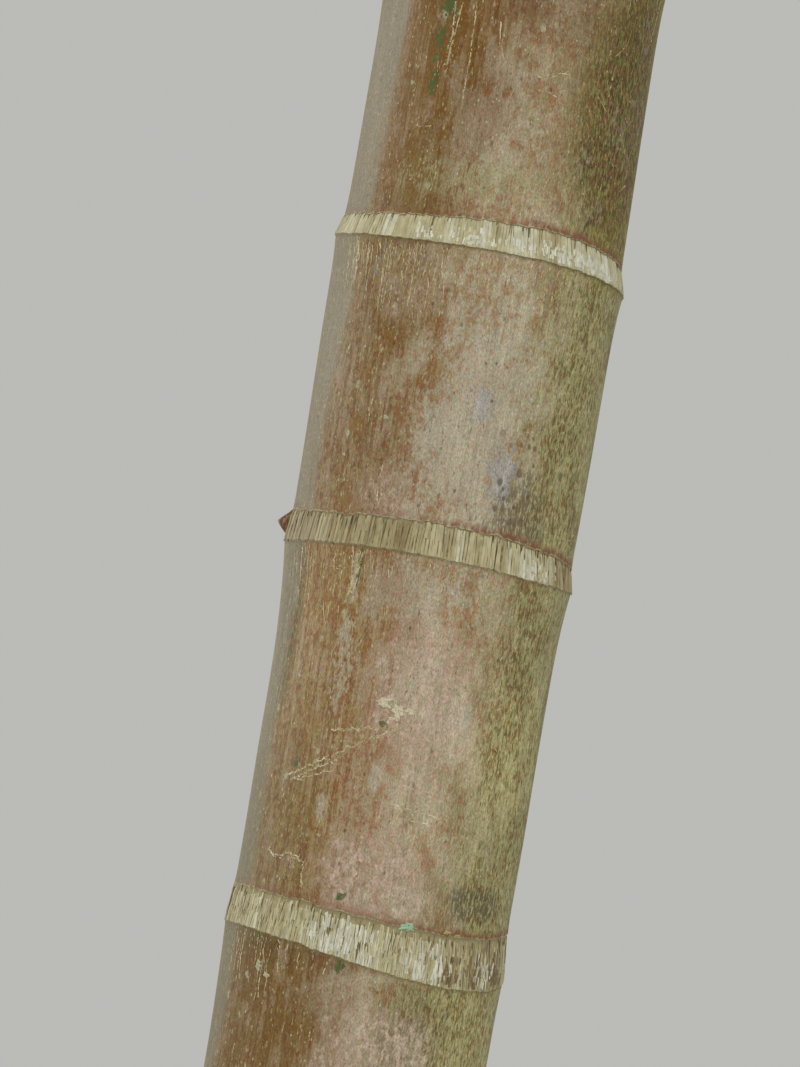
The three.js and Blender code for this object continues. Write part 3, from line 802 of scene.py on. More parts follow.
def lay_tints(f):
    """Broad shades that change along the stem and round it: darker, golden and amber parts of the left, a
    dimmer front over the lowest ring at eye level, and browner tops and edges."""
    darker = f.plus(*(f.between(f.height, *step) for step in LEFT_DARKER))
    f.shade(f.maths("SUBTRACT", 1.04, f.all_of(darker, f.to_left)))
    golden = f.any_of(f.all_of(f.zone("more golden"), 0.4), f.between(f.patchy, 0.52, 0.66, 0.0, 0.5))
    golden = f.all_of(golden, f.to_left, f.zone("golden"))
    f.lay(BARK_ORANGE, f.any_of(golden, f.all_of(f.lower, f.to_left, 0.3)))
    f.shade(f.between(f.height, *LOW_SHADE))
    amber = f.side("amber")
    f.tint(AMBER_TINT, amber)
    f.tint(AMBER_TINT, amber, f.zone("more amber"))
    f.tint(LOW_LEFT_TINT, f.side("far left"), f.zone("far left"), f.not_in(f.all_of(f.lower, 0.5)))
    over_first = f.all_of(f.zone("over the first ring"), f.side("front"), 0.1)
    f.shade(f.not_in(f.any_of(over_first, f.patches("dimmed"))))
    f.tint(TOP_TINT, f.zone("top"), f.side("top"))
    f.tint(TOP_RIGHT_TINT, f.zone("top right"), f.side("top right"))
    f.tint(RIGHT_EDGE_TINT, f.zone("right edge"), f.side("right edge"))
    f.shade(f.plus(1.0, f.any_of(f.patches("lighter"), f.all_of(f.lower, f.side("lighter"), 0.2))))


def lay_patches(f):
    """Pink, dark, grey, mint, mossy and bluish patches, and along the left edge a grey coat that is partly
    grey bloom and partly painted sheen.
    """
    f.lay(BARK_PINK, f.patches("pink"), f.between(f.fleck, 0.4, 0.6, 0.15, 0.75))
    dark = f.patches("dark")
    f.lay(BARK_OLIVE, dark, 0.6)
    f.lay(BARK_DARK, dark, f.between(f.dash, 0.38, 0.54), 0.85)
    f.shade(f.not_in(f.all_of(dark, 0.16)))
    mixed = f.plus(f.fine, f.swing(f.hue, 0.9))
    f.lay(BARK_WINE, dark, f.between(mixed, 0.5, 0.62), 0.65)
    f.lay(BARK_GREEN, dark, f.falling(mixed, 0.36, 0.46), 0.5)
    strewn = f.all_of(f.falling(f.patchy, 0.40, 0.5), f.between(f.fleck, 0.46, 0.6), 0.45)
    column = f.all_of(f.patches("lichen column"), f.between(f.dash, 0.4, 0.56))
    f.lay(LICHEN_GREY, f.any_of(strewn, f.patches("lichen"), column), 0.5)
    f.lay(LICHEN_GREY, f.patches("greyed"))
    f.lay(LICHEN_MINT, f.dots("mint"), f.between(f.fleck, 0.42, 0.56), f.not_in(f.to_right), 0.6)
    f.lay(BARK_MOSS, f.patches("belt"), f.between(f.dash, 0.45, 0.56), 0.6)
    f.lay(LICHEN_BLUE, f.between(f.patches("bluish"), 0.3, 0.65), f.between(f.fleck, 0.3, 0.6, 0.5, 0.85))

    # The grey coat along the left edge is partly the bark's grey bloom and partly painted sheen: the pale
    # reflection where light grazes that edge.
    shift = f.plus(*(f.between(f.height, *step) for step in COAT_AND_SHEEN_SHIFTS))
    edge = f.plus(f.toward(COAT_AND_SHEEN_TURN), shift, f.all_of(f.sway, 0.3))
    low = f.all_of(f.zone("low coat and sheen"), f.not_in(f.all_of(f.lower, 0.3)), 0.8)
    coat_and_sheen = f.coloured(low, BARK_COAT_AND_SHEEN, LOW_LEFT_TINT, "MULTIPLY")
    f.lay(coat_and_sheen, f.between(edge, 0.75, 0.84), f.between(f.dash, 0.3, 0.62, 0.97, 0.7))


def lay_marks(f):
    """Fine light and dark in the bark, cream ticks, specks and dust, brown pits, grey spots and green
    scrapes. Gives back the share of cream, which stands a little proud."""
    f.shade(f.between(f.streak, 0.25, 0.75, 0.83, 1.18))
    f.shade(f.between(f.fleck, 0.25, 0.75, 0.82, 1.2))
    f.shade(f.between(f.grain, 0.2, 0.8, 0.74, 1.28))
    ticked = f.plus(f.swing(f.patchy, 0.35), f.all_of(f.to_left, 0.03), f.tick)
    specks = f.any_of(f.all_of(f.dots("cream"), f.between(f.fleck, 0.4, 0.55)), f.dots("fine cream"))
    specks = f.all_of(specks, f.between(f.patchy, 0.3, 0.55, 0.3, 0.9))
    cream = f.any_of(f.between(ticked, 0.66, 0.74), specks)
    f.lay(TORN_CREAM, cream, 0.6)
    f.lay(DUST_CREAM, f.dots("dust"), f.between(f.hue, 0.44, 0.58, 0.1, 1.0), 0.7)
    pits = f.any_of(
        f.all_of(f.dots("pits"), f.between(f.patchy, 0.4, 0.6, 0.4, 1.0)),
        f.all_of(f.dots("fine pits"), f.any_of(f.patches("fine pits"), f.all_of(f.side("pitted"), 0.5))),
        f.all_of(f.dots("large pits"), f.patches("large pits")),
        f.all_of(f.falling(f.plus(f.dash, f.swing(f.hue, 0.4)), 0.26, 0.34), 0.8),
    )
    f.lay(PIT_BROWN, pits, 0.65)
    dotted = f.any_of(f.between(f.dash, 0.44, 0.54), f.between(f.fleck, 0.5, 0.6))
    f.lay(SPOT_GREY, f.patches("spotted"), dotted, 0.8)
    f.lay(SCRAPE_GREEN, f.between(f.patches("scraped"), 0.3, 0.5), f.between(f.dash, 0.3, 0.6, 1.0, 0.7))
    return cream


def lay_ring_edges(f):
    """A red-brown stain above each ring's band, partly real and partly painted shadow under the bark's
    broken edge, stronger to the right; a cream edge above the band; and painted shade under its lip.
    """
    # Red-brown above the band: partly a real stain and partly painted shadow cast by the overhanging bark
    # edge, stronger on the right.
    stain_and_shadow = f.falling(f.plus(f.over, f.swing(f.patchy, 0.012)), 0.001, 0.0055)
    stain_and_shadow = f.all_of(stain_and_shadow, f.between(f.toward(STAIN_AND_SHADOW_TURN), 0.0, 0.8, 0.4, 1.0))
    f.lay(EDGE_RED_AND_SHADOW, stain_and_shadow, f.between(f.fleck, 0.3, 0.6, 0.25, 0.9))
    f.lay(EDGE_CREAM, f.falling(f.plus(f.over, f.swing(f.fleck, 0.002)), 0.0001, 0.0007), 0.75)
    # Painted shade: a darker line just under each ring's lip, where the lip overhangs the bark below.
    f.lay(BAND_SHADE, f.falling(f.under, 0.0004, 0.0026), 0.5)


def lay_ends(f):
    """Green near the top, where the stem is young, and damp, grey and cracked near the ground. Gives back
    the cracks, which are sunk."""
    young = f.all_of(f.zone("young"), f.ranging(f.patchy, 0.55, 0.9))
    f.lay(BARK_GREEN, young)
    beside = f.any_of(f.falling(f.over, 0.001, 0.009), f.falling(f.under, 0.0, 0.005))
    f.lay(LICHEN_GREY, beside, young, f.between(f.streak, 0.35, 0.6, 0.4, 0.9))
    f.lay(BARK_DAMP, f.zone("damp"), 0.8, f.between(f.patchy, 0.3, 0.65, 0.5, 1.0))
    crust = f.between(f.plus(f.fleck, f.swing(f.patchy, 1.0)), 0.5, 0.6)
    f.lay(LICHEN_GREY, f.zone("grey foot"), 0.75, crust)
    cracked = f.falling(f.maths("ABSOLUTE", f.swing(f.seam, 1.0), 0.0), 0.0, 0.012)
    cracked = f.all_of(cracked, f.zone("cracked"), f.between(f.patchy, 0.4, 0.55))
    f.lay(PIT_BROWN, cracked)
    return cracked


def bark_finish():
    """Smooth bark, in layers from its broad tones to its marks, and the ground of the rings' bands."""
    f = Bark()
    lay_sides(f)
    lay_tints(f)
    lay_patches(f)
    cream = lay_marks(f)
    lay_ring_edges(f)
    cracked = lay_ends(f)
    band = f.coloured(f.between(f.dash, 0.4, 0.6), BAND_UNDER, BAND_SHADE)
    band = f.coloured(f.all_of(f.falling(f.band_up, 0.04, 0.12), 0.5), band, EDGE_CREAM)
    band_top = f.between(f.plus(f.band_up, f.swing(f.fleck, 0.4)), 0.7, 0.92, 0.0, 0.8)
    f.lay(f.coloured(band_top, band, BAND_TOP), f.on_band)
    relief = f.plus(f.all_of(f.streak, 0.6), f.all_of(f.fleck, 0.5), f.all_of(cream, 0.3))
    relief = f.maths("SUBTRACT", relief, f.all_of(cracked, 1.5))
    return f.done(relief, BARK_RELIEF, f.ranging(f.fleck, *BARK_ROUGHNESS))


def fixed(piece, slot, *nodes):
    """The whole palm is one body: the piece is fixed to it and stands for those solids."""
    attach(piece, "root")
    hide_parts(*nodes)


def shown(name, mesh):
    piece = bpy.data.objects.new(name, mesh)
    bpy.context.scene.collection.objects.link(piece)
    return piece


def skinned(mesh, finish, slot, *nodes):
    """A mesh as a piece of one finish."""
    mesh.materials.append(finish)
    fixed(shown(mesh.name, mesh), slot, *nodes)


eye_first = next(n for n, ring in enumerate(RINGS) if ring[0][0] > EYE_LIPS[0][0] / 1000 - 1e-6)
middle_last = next(n for n, ring in enumerate(RINGS) if ring[0][0] > MIDDLE_ENDS)
trunk_ends = [None, eye_first - 1, eye_first + len(EYE_LIPS), middle_last, None]
bark = bark_finish()
for (name, *form), first, last in zip(TRUNK_PARTS, trunk_ends[:-1], trunk_ends[1:]):
    skinned(closed_skin(name, *stem_rows(first, last, *form)), bark, "bark", "trunk")

# Ring fibres
# Strands torn from the leaf bases lie side by side up each ring's band, and others hang down from its lip.
# They are grown along lines, whose points carry the run of their strands, the way out of the bark, a tone
# from brown to white, and how many strands are kept.
RING_LINE_POINTS = 360
BAND_STRAND = [(0, 1.0, 0.9), (0.8, 1.0, 1.0), (1, 0.9, 0.5)]  # along the strand, its width and height
TORN_STRAND = [(0, 0.8, 0.8), (0.4, 1.0, 1.0), (1, 0.5, 0.6)]
STRAND_SUNK = 0.5  # how far its edges lie under the bark, as a share of how proud it stands
STRAND_SHOULDER = 0.82  # width of its flat upper side, as a share
PROUD_PLAY = (0.7, 1.3)
BELOW_ALL_TONES = -9.0
STRAND_TONES = [tone(112, 92, 58), tone(136, 120, 82), tone(156, 145, 106)]  # from brown to white
STRAND_TONES += [tone(174, 166, 128), tone(188, 184, 156), tone(204, 204, 188)]
TORN_TONES = [tone(140, 118, 82), tone(156, 138, 98), tone(172, 156, 114)]
TORN_TONES += [tone(188, 174, 134), tone(200, 190, 156), tone(212, 206, 182)]
EYE_TEARS = [  # lowest ring first: how many, between which turns in degrees, and the longest
    [(22, -66, -12, 0.03)],
    [(34, -68, -14, 0.034), (10, -14, 12, 0.02)],
    [(62, -64, -10, 0.036), (26, -10, 38, 0.026)],
]
TEARS_A_RING = 14

BAND_CHOICES = dict(
    Spacing=0.0024, Width=0.0024, Varied=0.15, Astray=0.25, Proud=0.0006, Shortest=0.93, Skew=0.05
)
EYE_BAND_CHOICES = [  # lowest first
    dict(BAND_CHOICES, Spacing=0.001, Width=0.00105, Varied=0.35, Shortest=0.6, Skew=0.08),
    dict(BAND_CHOICES, Spacing=0.0018, Width=0.0018, Varied=0.2),
    dict(BAND_CHOICES, Spacing=0.0017, Width=0.002, Varied=0.1, Astray=0.05, Shortest=0.97),
]
EYE_COURSES = [  # from and to, as shares of the band's height, the share kept, and how far they slip up
    [(0.0, 0.5, 1.0, 0.02), (0.15, 0.6, 0.9, 0.3), (0.35, 0.85, 0.9, 0.3), (0.58, 0.97, 1.0, 0.06)],
    [(0.0, 1.0, 1.0, 0.02), (0.45, 0.98, 0.3, 0.1)],
    [(0.0, 1.01, 1.0, 0.0)],
]
PLAIN_COURSES = [(0.0, 1.0, 1.0, 0.03)]
EYE_UNEVEN = [0.16, 0.08, 0.05]  # how far a strand's tone strays from its line's
EYE_TONES = [  # tone, how uneven, seed, longest wave, and humps: how much lighter, how wide, and the turn
    (0.47, 0.07, 1511, 8, [(0.3, 20, -12), (0.14, 18, 24)]),
    (0.38, 0.07, 1502, 6, [(0.27, 14, 44), (0.2, 22, 12), (-0.07, 30, -56)]),
    (0.62, 0.08, 1503, 5, [(-0.1, 12, -58), (0.11, 18, 54)]),
]
EYE_TONE_SHORTEST = 60
PLAIN_TONE = (0.52, 0.12, 0.13)  # the bands' mean tone, how much it varies from ring to ring, and round one
PLAIN_TONE_WAVES = (5, 40)
SLIT_SHADE = tone(98, 80, 50)
SLIT_CHOICES = dict(
    Spacing=0.0032, Width=0.00042, Varied=0.5, Astray=3.5, Proud=0.0009, Shortest=0.25, Skew=0.14
)
EYE_SLITS = [  # dark gaps: from and to, the share kept and the slip, as above
    [(1.0, 0.2, 0.6, 0.2), (0.6, 0.05, 0.5, 0.2)],
    [(1.0, 0.06, 0.8, 0.05), (0.9, 0.0, 0.35, 0.1)],
    [(1.0, 0.15, 0.4, 0.0)],
]
BLOTCH_COURSES = [(0.02, 0.4, 0.9, 0.3), (0.2, 0.6, 0.75, 0.3), (0.42, 0.78, 0.45, 0.3)]
BLOTCHES = [  # lowest ring first: turn in degrees, how wide and the tone
    [(-14, 9, 0.88), (24, 8, 0.88), (38, 5, 0.12), (50, 6, 0.1), (57, 5, 0.88), (66, 6, 0.15)],
    [(46, 7, 0.85)],
    [(-22, 4, 0.88), (-4, 7, 0.88), (14, 5, 0.88), (32, 12, 0.92), (52, 12, 0.9)],
]
BLOTCH_CHOICES = dict(
    Spacing=0.0009, Width=0.0012, Varied=0.6, Astray=0.5, Proud=0.0009, Shortest=0.4, Skew=0.3
)
TEAR_STEP = 0.001
TEAR_RUN = 0.0036
TEAR_WANDER = 0.008
TEAR_BENDS = (2, 9)
TEAR_SHORTEST = 0.15  # as a share of the longest
TEAR_POWER = 1.3
TEAR_BELOW = 0.001  # the highest starts this far below the lip
TEAR_LOWER = 0.3  # and the lowest this much lower, as a share of the longest
TEAR_CHOICES = dict(
    Spacing=0.002, Width=0.0005, Varied=0.4, Astray=0.4, Proud=0.0004, Shortest=0.5, Skew=0.12
)
TEAR_SLIP = 0.2
TEAR_TONE = 0.5
TEARS_KEPT = 0.85
TEAR_LONGEST = 0.03  # on the rings that aren't at eye level
NICKS = 44  # single fibres, strewn over the eye level bark
NICK_PLACES = [(1.275, 1.475), (1.50, 1.645), (1.67, 1.80)]
NICK_TURNS = (-58, 72)
NICK_HALF = (0.0015, 0.006)
NICK_SLOPES = [10, 15, 75]
NICKS_KEPT = 0.8


def strand_pattern(rows):
    """One strand, of length 1 along Z, width 1 along X and standing proud along Y, closed at both ends."""
    points = []
    for along, wide, high in rows:
        side, shoulder, top = wide / 2, STRAND_SHOULDER * wide / 2, high - STRAND_SUNK
        ring = [(-side, -STRAND_SUNK), (-shoulder, top), (shoulder, top), (side, -STRAND_SUNK)]
        points += [(x, y, along) for x, y in ring]
    last = len(points) - 4
    faces = [(0, 1, 2, 3), (last + 3, last + 2, last + 1, last), *wall_faces(len(rows), 4, True).tolist()]
    mesh = bpy.data.meshes.new("strand pattern")
    mesh.from_pydata(points, [], faces)
    return shown("strand pattern", mesh)


def named(tree, name, kind="FLOAT_VECTOR"):
    return put(tree, "GeometryNodeInputNamedAttribute", {"Name": name}, data_type=kind).outputs[0]


def new_tree(name, inputs):
    """A node tree that makes a mesh, and its inputs, which are given as names and kinds."""
    tree = bpy.data.node_groups.new(name, "GeometryNodeTree")
    for socket, kind in inputs:
        tree.interface.new_socket(socket, in_out="INPUT", socket_type="NodeSocket" + kind)
    tree.interface.new_socket("Made", in_out="OUTPUT", socket_type="NodeSocketGeometry")
    return tree, put(tree, "NodeGroupInput").outputs


def grown(tree, points, pattern, along, facing, size, kept=True):
    """A pattern on every point that is kept, with its Z along one direction and its Y facing another."""
    upright = put(tree, "FunctionNodeAlignRotationToVector", {"Vector": along}, axis="Z").outputs[0]
    fed = {"Rotation": upright, "Vector": facing}
    turned = put(tree, "FunctionNodeAlignRotationToVector", fed, axis="Y", pivot_axis="Z").outputs[0]
    shape = put(tree, "GeometryNodeObjectInfo", {"Object": pattern}).outputs["Geometry"]
    fed = {"Points": points, "Selection": kept, "Instance": shape, "Rotation": turned, "Scale": size}
    laid = put(tree, "GeometryNodeInstanceOnPoints", fed).outputs[0]
    return put(tree, "GeometryNodeRealizeInstances", {0: laid}).outputs[0]


def strand_growth():
    """Lays a strand at every step along the lines, turned along its own run, each a little different."""
    inputs = [("Lines", "Geometry"), ("Strand", "Object"), ("Seed", "Int")]
    inputs += [(name, "Float") for name in (*BAND_CHOICES, "Uneven")]
    inputs += [(f"Tone {n}", "Material") for n in range(len(STRAND_TONES))]
    tree, given = new_tree("strands along lines", inputs)
    times = lambda a, b: put(tree, "ShaderNodeMath", {0: a, 1: b}, operation="MULTIPLY").outputs[0]
    plus = lambda a, b: put(tree, "ShaderNodeMath", {0: a, 1: b}, operation="ADD").outputs[0]
    vectors = lambda kind, fed: put(tree, "ShaderNodeVectorMath", fed, operation=kind).outputs

    def chance(low, high, purpose):
        fed = {2: low, 3: high, 8: plus(given["Seed"], purpose)}
        return put(tree, "FunctionNodeRandomValue", fed, data_type="FLOAT").outputs[1]

    curve = put(tree, "GeometryNodeMeshToCurve", {0: given["Lines"]}).outputs[0]
    fed = {"Curve": curve, "Length": given["Spacing"]}
    stepped = put(tree, "GeometryNodeResampleCurve", fed, mode="LENGTH").outputs[0]
    run, out = named(tree, "run"), named(tree, "out")
    slip = times(chance(0.0, 1.0, 1), named(tree, "slip", "FLOAT"))
    slipped = vectors("SCALE", {0: run, "Scale": slip})[0]
    level = vectors("NORMALIZE", {0: vectors("CROSS_PRODUCT", {0: out, 1: run})[0]})[0]
    astray = times(times(given["Width"], given["Astray"]), chance(-1.0, 1.0, 8))
    moved = vectors("ADD", {0: slipped, 1: vectors("SCALE", {0: level, "Scale": astray})[0]})[0]
    stepped = put(tree, "GeometryNodeSetPosition", {"Geometry": stepped, "Offset": moved}).outputs[0]
    own_tone = plus(named(tree, "tone", "FLOAT"), times(chance(-1.0, 1.0, 2), given["Uneven"]))
    fed = {"Geometry": stepped, "Name": "tone", "Value": own_tone}
    stored = put(tree, "GeometryNodeStoreNamedAttribute", fed, data_type="FLOAT", domain="POINT")
    stepped = stored.outputs[0]
    length = vectors("LENGTH", {0: run})["Value"]
    skew = times(times(chance(-1.0, 1.0, 3), given["Skew"]), length)
    skewed = vectors("ADD", {0: run, 1: vectors("SCALE", {0: level, "Scale": skew})[0]})[0]
    wide = times(given["Width"], plus(1.0, times(chance(-1.0, 1.0, 4), given["Varied"])))
    proud = times(given["Proud"], chance(*PROUD_PLAY, 5))
    fed = {0: given["Shortest"], 1: chance(0.0, 1.0, 6)}
    long = times(length, put(tree, "ShaderNodeMath", fed, operation="MAXIMUM").outputs[0])
    size = put(tree, "ShaderNodeCombineXYZ", {0: wide, 1: proud, 2: long}).outputs[0]
    fed = {0: chance(0.0, 1.0, 7), 1: named(tree, "kept", "FLOAT")}
    kept = put(tree, "FunctionNodeCompare", fed, operation="LESS_THAN").outputs[0]
    real = grown(tree, stepped, given["Strand"], skewed, out, size, kept)
    for n in range(len(STRAND_TONES)):
        fed = {0: named(tree, "tone", "FLOAT"), 1: n / len(STRAND_TONES) if n else BELOW_ALL_TONES}
        lighter = put(tree, "FunctionNodeCompare", fed, operation="GREATER_THAN")
        fed = {"Geometry": real, "Selection": lighter.outputs[0], "Material": given[f"Tone {n}"]}
        real = put(tree, "GeometryNodeSetMaterial", fed).outputs[0]
    put(tree, "NodeGroupOutput", {"Made": real})
    return tree


def points_mesh(name, points, edges, marks):
    mesh = bpy.data.meshes.new(name)
    mesh.from_pydata([tuple(p) for p in points], edges, [])
    for mark, (kind, values) in marks.items():
        layer = mesh.attributes.new(mark, kind, "POINT")
        layer.data.foreach_set("vector" if kind == "FLOAT_VECTOR" else "value", np.asarray(values).ravel())
    return mesh


def worked(name, mesh, tree, choices):
    """What a node tree makes of a mesh, as a plain mesh."""
    source = shown(name, mesh)
    modifier = source.modifiers.new("growth", "NODES")
    modifier.node_group = tree
    for socket in tree.interface.items_tree:
        if socket.in_out == "INPUT" and socket.name in choices:
            modifier[socket.identifier] = choices[socket.name]
    graph = bpy.context.evaluated_depsgraph_get()
    made = bpy.data.meshes.new_from_object(source.evaluated_get(graph), depsgraph=graph)
    source.modifiers.remove(modifier)
    bpy.data.objects.remove(source)
    made.name = name
    return made


def lines_mesh(name, lines):
    """Lines as edges. Each is its points, runs, tones, share kept, slip and whether it is closed."""
    points, edges, runs, tones, kept, slips = [], [], [], [], [], []
    for at, run, own_tones, own_kept, slip, closed in lines:
        first = len(points)
        count = len(at)
        edges += [(first + k, first + (k + 1) % count) for k in range(count if closed else count - 1)]
        points += list(at)
        runs.append(run)
        tones.append(own_tones + np.zeros(count))
        kept.append(own_kept + np.zeros(count))
        slips.append(slip + np.zeros(count))
    points = np.array(points)
    place = points[:, 2]
    outs = points - axis_at(place)
    outs[:, 2] = 0
    outs /= np.linalg.norm(outs, axis=1)[:, None]
    marks = {
        "run": ("FLOAT_VECTOR", np.concatenate(runs)),
        "out": ("FLOAT_VECTOR", outs),
        "tone": ("FLOAT", np.concatenate(tones)),
        "kept": ("FLOAT", np.concatenate(kept)),
        "slip": ("FLOAT", np.concatenate(slips)),
    }
    return points_mesh(name, points, edges, marks)


ring_turns = once_round(RING_LINE_POINTS)


def band_lines(number, tones, courses):
    lip, top = ring_lines(number, ring_turns)
    lines = []
    for low, high, kept, slip in courses:
        ends = []
        for up in (low, high):
            place = mix(lip, top, up)
            ends.append(on_stem(ring_turns, place, band_radius(number, ring_turns, place, up)))
        lines.append((ends[0], ends[1] - ends[0], tones, kept, slip, True))
    return lines


def along_line(at, length):
    """Runs of that length along a line of points."""
    run = np.gradient(at, axis=0)
    return run * (length / np.linalg.norm(run, axis=1))[:, None]


def tear_lines(number, many, first, last, longest, seed):
    """Wavy lines down the bark from a ring's lip, between two turns."""
    chance = np.random.default_rng(seed)
    lines = []
    for _ in range(many):
        length = longest * chance.uniform(TEAR_SHORTEST, 1) ** TEAR_POWER
        steps = np.linspace(0, 1, max(5, round(length / TEAR_STEP)))
        middle = math.radians(chance.uniform(first, last))
        wave = chance.uniform(0.3, 1) * np.cos(steps * chance.uniform(*TEAR_BENDS) + chance.uniform(0, 7))
        turn = middle + TEAR_WANDER * wave
        lip, _ = ring_lines(number, np.array([middle]))
        lower = chance.uniform(0, TEAR_LOWER) * longest * chance.uniform(0, 1)
        below = TEAR_BELOW + lower + steps * length
        at = on_stem(turn, lip - below, under_lip(number, turn, lip - below, below))
        lines.append((at, along_line(at, TEAR_RUN), TEAR_TONE, TEARS_KEPT, TEAR_SLIP, False))
    return lines


def skin_radius(turn, place):
    """The bark's radius at eye level, with its swelling under each lip."""
    radius = bark_radius(turn, place)
    for number in range(eye_first, eye_first + len(EYE_LIPS) + 1):
        below = ring_lines(number, turn)[0] - place
        radius = radius + np.where(below > 0, lip_swell(number, below), 0)
    return radius


def nick_lines():
    """Short straight lines strewn over the bark at eye level, upright or lying down."""
    chance = np.random.default_rng(77)
    lines = []
    for k in range(NICKS):
        middle = math.radians(chance.uniform(*NICK_TURNS))
        place = chance.uniform(*NICK_PLACES[k % len(NICK_PLACES)])
        lying = math.radians(chance.choice(NICK_SLOPES) * chance.uniform(0.3, 1.3))
        along = np.linspace(-1, 1, 7) * chance.uniform(*NICK_HALF)
        turn = middle + along * math.sin(lying) * chance.choice([-1, 1]) / EYE_RADIUS
        place = place + along * math.cos(lying)
        at = on_stem(turn, place, skin_radius(turn, place))
        lines.append((at, along_line(at, TEAR_RUN), TEAR_TONE, NICKS_KEPT, TEAR_SLIP, False))
    return lines


def hump(height, wide, middle):
    """That high at a turn in degrees, falling to 0 on both sides."""
    away = (np.degrees(ring_turns) - middle + 180) % 360 - 180
    return height * bulge(away, 0, wide)


def ring_tones(number):
    """The tones of a band's strands round the stem: the ring's own shade, in lighter and darker patches."""
    mean, varied, uneven = PLAIN_TONE
    cloudy = uneven * ragged(ring_turns, 1500 + number, *PLAIN_TONE_WAVES)
    return mean + varied * play(number, 41) + cloudy


def eye_ring_tones(which):
    mean, uneven, seed, longest, humps = EYE_TONES[which]
    cloudy = uneven * ragged(ring_turns, seed, longest, EYE_TONE_SHORTEST)
    return mean + cloudy + sum(hump(*row) for row in humps)


def strand_finish(name, colour):
    """A plain tone with fine lines."""
    f = Finish(f"strand_{name}", 0.62, colour)
    soft = f.cloud(f.own_place(), 420, 160, 4.0, 2)
    f.shade(f.ranging(soft, 0.84, 1.14))
    return f.done(soft, 0.0002)


band_tones = [strand_finish(f"band_{n}", colour) for n, colour in enumerate(STRAND_TONES)]
torn_tones = [strand_finish(f"torn_{n}", colour) for n, colour in enumerate(TORN_TONES)]
plate, torn_end = strand_pattern(BAND_STRAND), strand_pattern(TORN_STRAND)
strands_tree = strand_growth()


def strands(name, lines, seed, uneven, choices, pattern, tones):
    """A piece of strands laid along lines."""
    given = {"Strand": pattern, "Seed": seed, "Uneven": uneven, **choices}
    given.update({f"Tone {n}": finish for n, finish in enumerate(tones)})
    mesh = worked(name, lines_mesh(name + "_lines", lines), strands_tree, given)
    fixed(shown(name, mesh), "bark", "trunk")


tears, blotches, slits = nick_lines(), [], []
for which, courses in enumerate(EYE_COURSES):
    number = eye_first + which
    for middle, wide, shade in BLOTCHES[which]:
        for at, run, _, kept, slip, closed in band_lines(number, 0, BLOTCH_COURSES):
            blotches.append((at, run, shade, kept * hump(1.0, wide, middle), slip, closed))
    slits += band_lines(number, 0, EYE_SLITS[which])
    lines = band_lines(number, eye_ring_tones(which), courses)
    given = (1 + which, EYE_UNEVEN[which], EYE_BAND_CHOICES[which])
    strands(f"ring_fibres_eye_{which + 1}", lines, *given, plate, band_tones)
    for part, torn in enumerate(EYE_TEARS[which]):
        tears += tear_lines(number, *torn, 60 + 10 * which + part)
other_bands = []
for number in range(len(RINGS)):
    if number - eye_first in range(len(EYE_COURSES)):
        continue
    other_bands += band_lines(number, ring_tones(number), PLAIN_COURSES)
    tears += tear_lines(number, TEARS_A_RING, -180, 180, TEAR_LONGEST, 200 + number)
strands("ring_fibres", other_bands, 6, 0.08, BAND_CHOICES, plate, band_tones)
strands("ring_blotches", blotches, 9, 0.2, BLOTCH_CHOICES, plate, band_tones)
slit_tones = [strand_finish("slit", SLIT_SHADE)] * len(STRAND_TONES)
strands("ring_slits", slits, 10, 0.0, SLIT_CHOICES, torn_end, slit_tones)
strands("torn_fibres", tears, 7, 0.3, TEAR_CHOICES, torn_end, torn_tones)

# Scratches
# Long thin scrapes across the bark, with the torn fibres that stand along them.
SCRATCHES = [  # turns in degrees, and places in millimetres
    [(-48, 1355), (-40, 1361), (-27, 1371), (-14, 1382), (-1, 1392)],
    [(-46, 1353), (-38, 1359), (-25, 1369)],
    [(-43, 1354), (-33, 1359), (-26, 1363)],
    [(-29, 1385), (-21, 1387), (-12, 1390)],
    [(-6, 1352), (4, 1350), (14, 1348), (23, 1347)],
    [(7, 1343), (17, 1343)],
    [(-52, 1313), (-45, 1311), (-39, 1314), (-32, 1311), (-31, 1298)],
    [(-32, 1486), (-31, 1472), (-29, 1457)],
    [(9, 1755), (15, 1756), (21, 1760)],
    [(11, 1748), (18, 1747)],
    [(-28, 1790), (-27, 1768), (-27, 1751)],
    [(-25, 1790), (-26, 1770), (-28, 1756)],
    [(-19, 1791), (-18, 1763), (-18, 1738)],
    [(-8, 1782), (-7, 1770), (-4, 1760)],
    [(-25, 1532), (-26, 1521), (-25, 1513)],
    [(-27, 1484), (-29, 1473), (-32, 1456)],
]
SCRATCH_STEP = 0.0005
SCRATCH_RUN = 0.0032
SCRATCH_CHOICES = dict(TEAR_CHOICES, Spacing=0.0008, Width=0.0006, Shortest=0.3, Skew=0.3)
SCRATCH_SLIP = 0.1
SCRATCH_WANDER = 0.0004
SCRATCH_TONE = (0.56, 0.14, 0.31)  # its mean, how much it wavers along the scratch, and how often
SCRATCH_KEPT = (0.74, 0.3, 0.55)
FUZZY = [0, 1, 3, 6, 7, 10, 15]  # which scratches have short hairs standing across them
FUZZ_CHOICES = dict(SCRATCH_CHOICES, Spacing=0.0006, Width=0.0007, Astray=1.4, Shortest=0.12, Skew=1.8)
FUZZ_RUN = 0.0017
FUZZ_TONE = 0.56
FUZZ_KEPT = 0.75
FUZZ_SLIP = 0.4


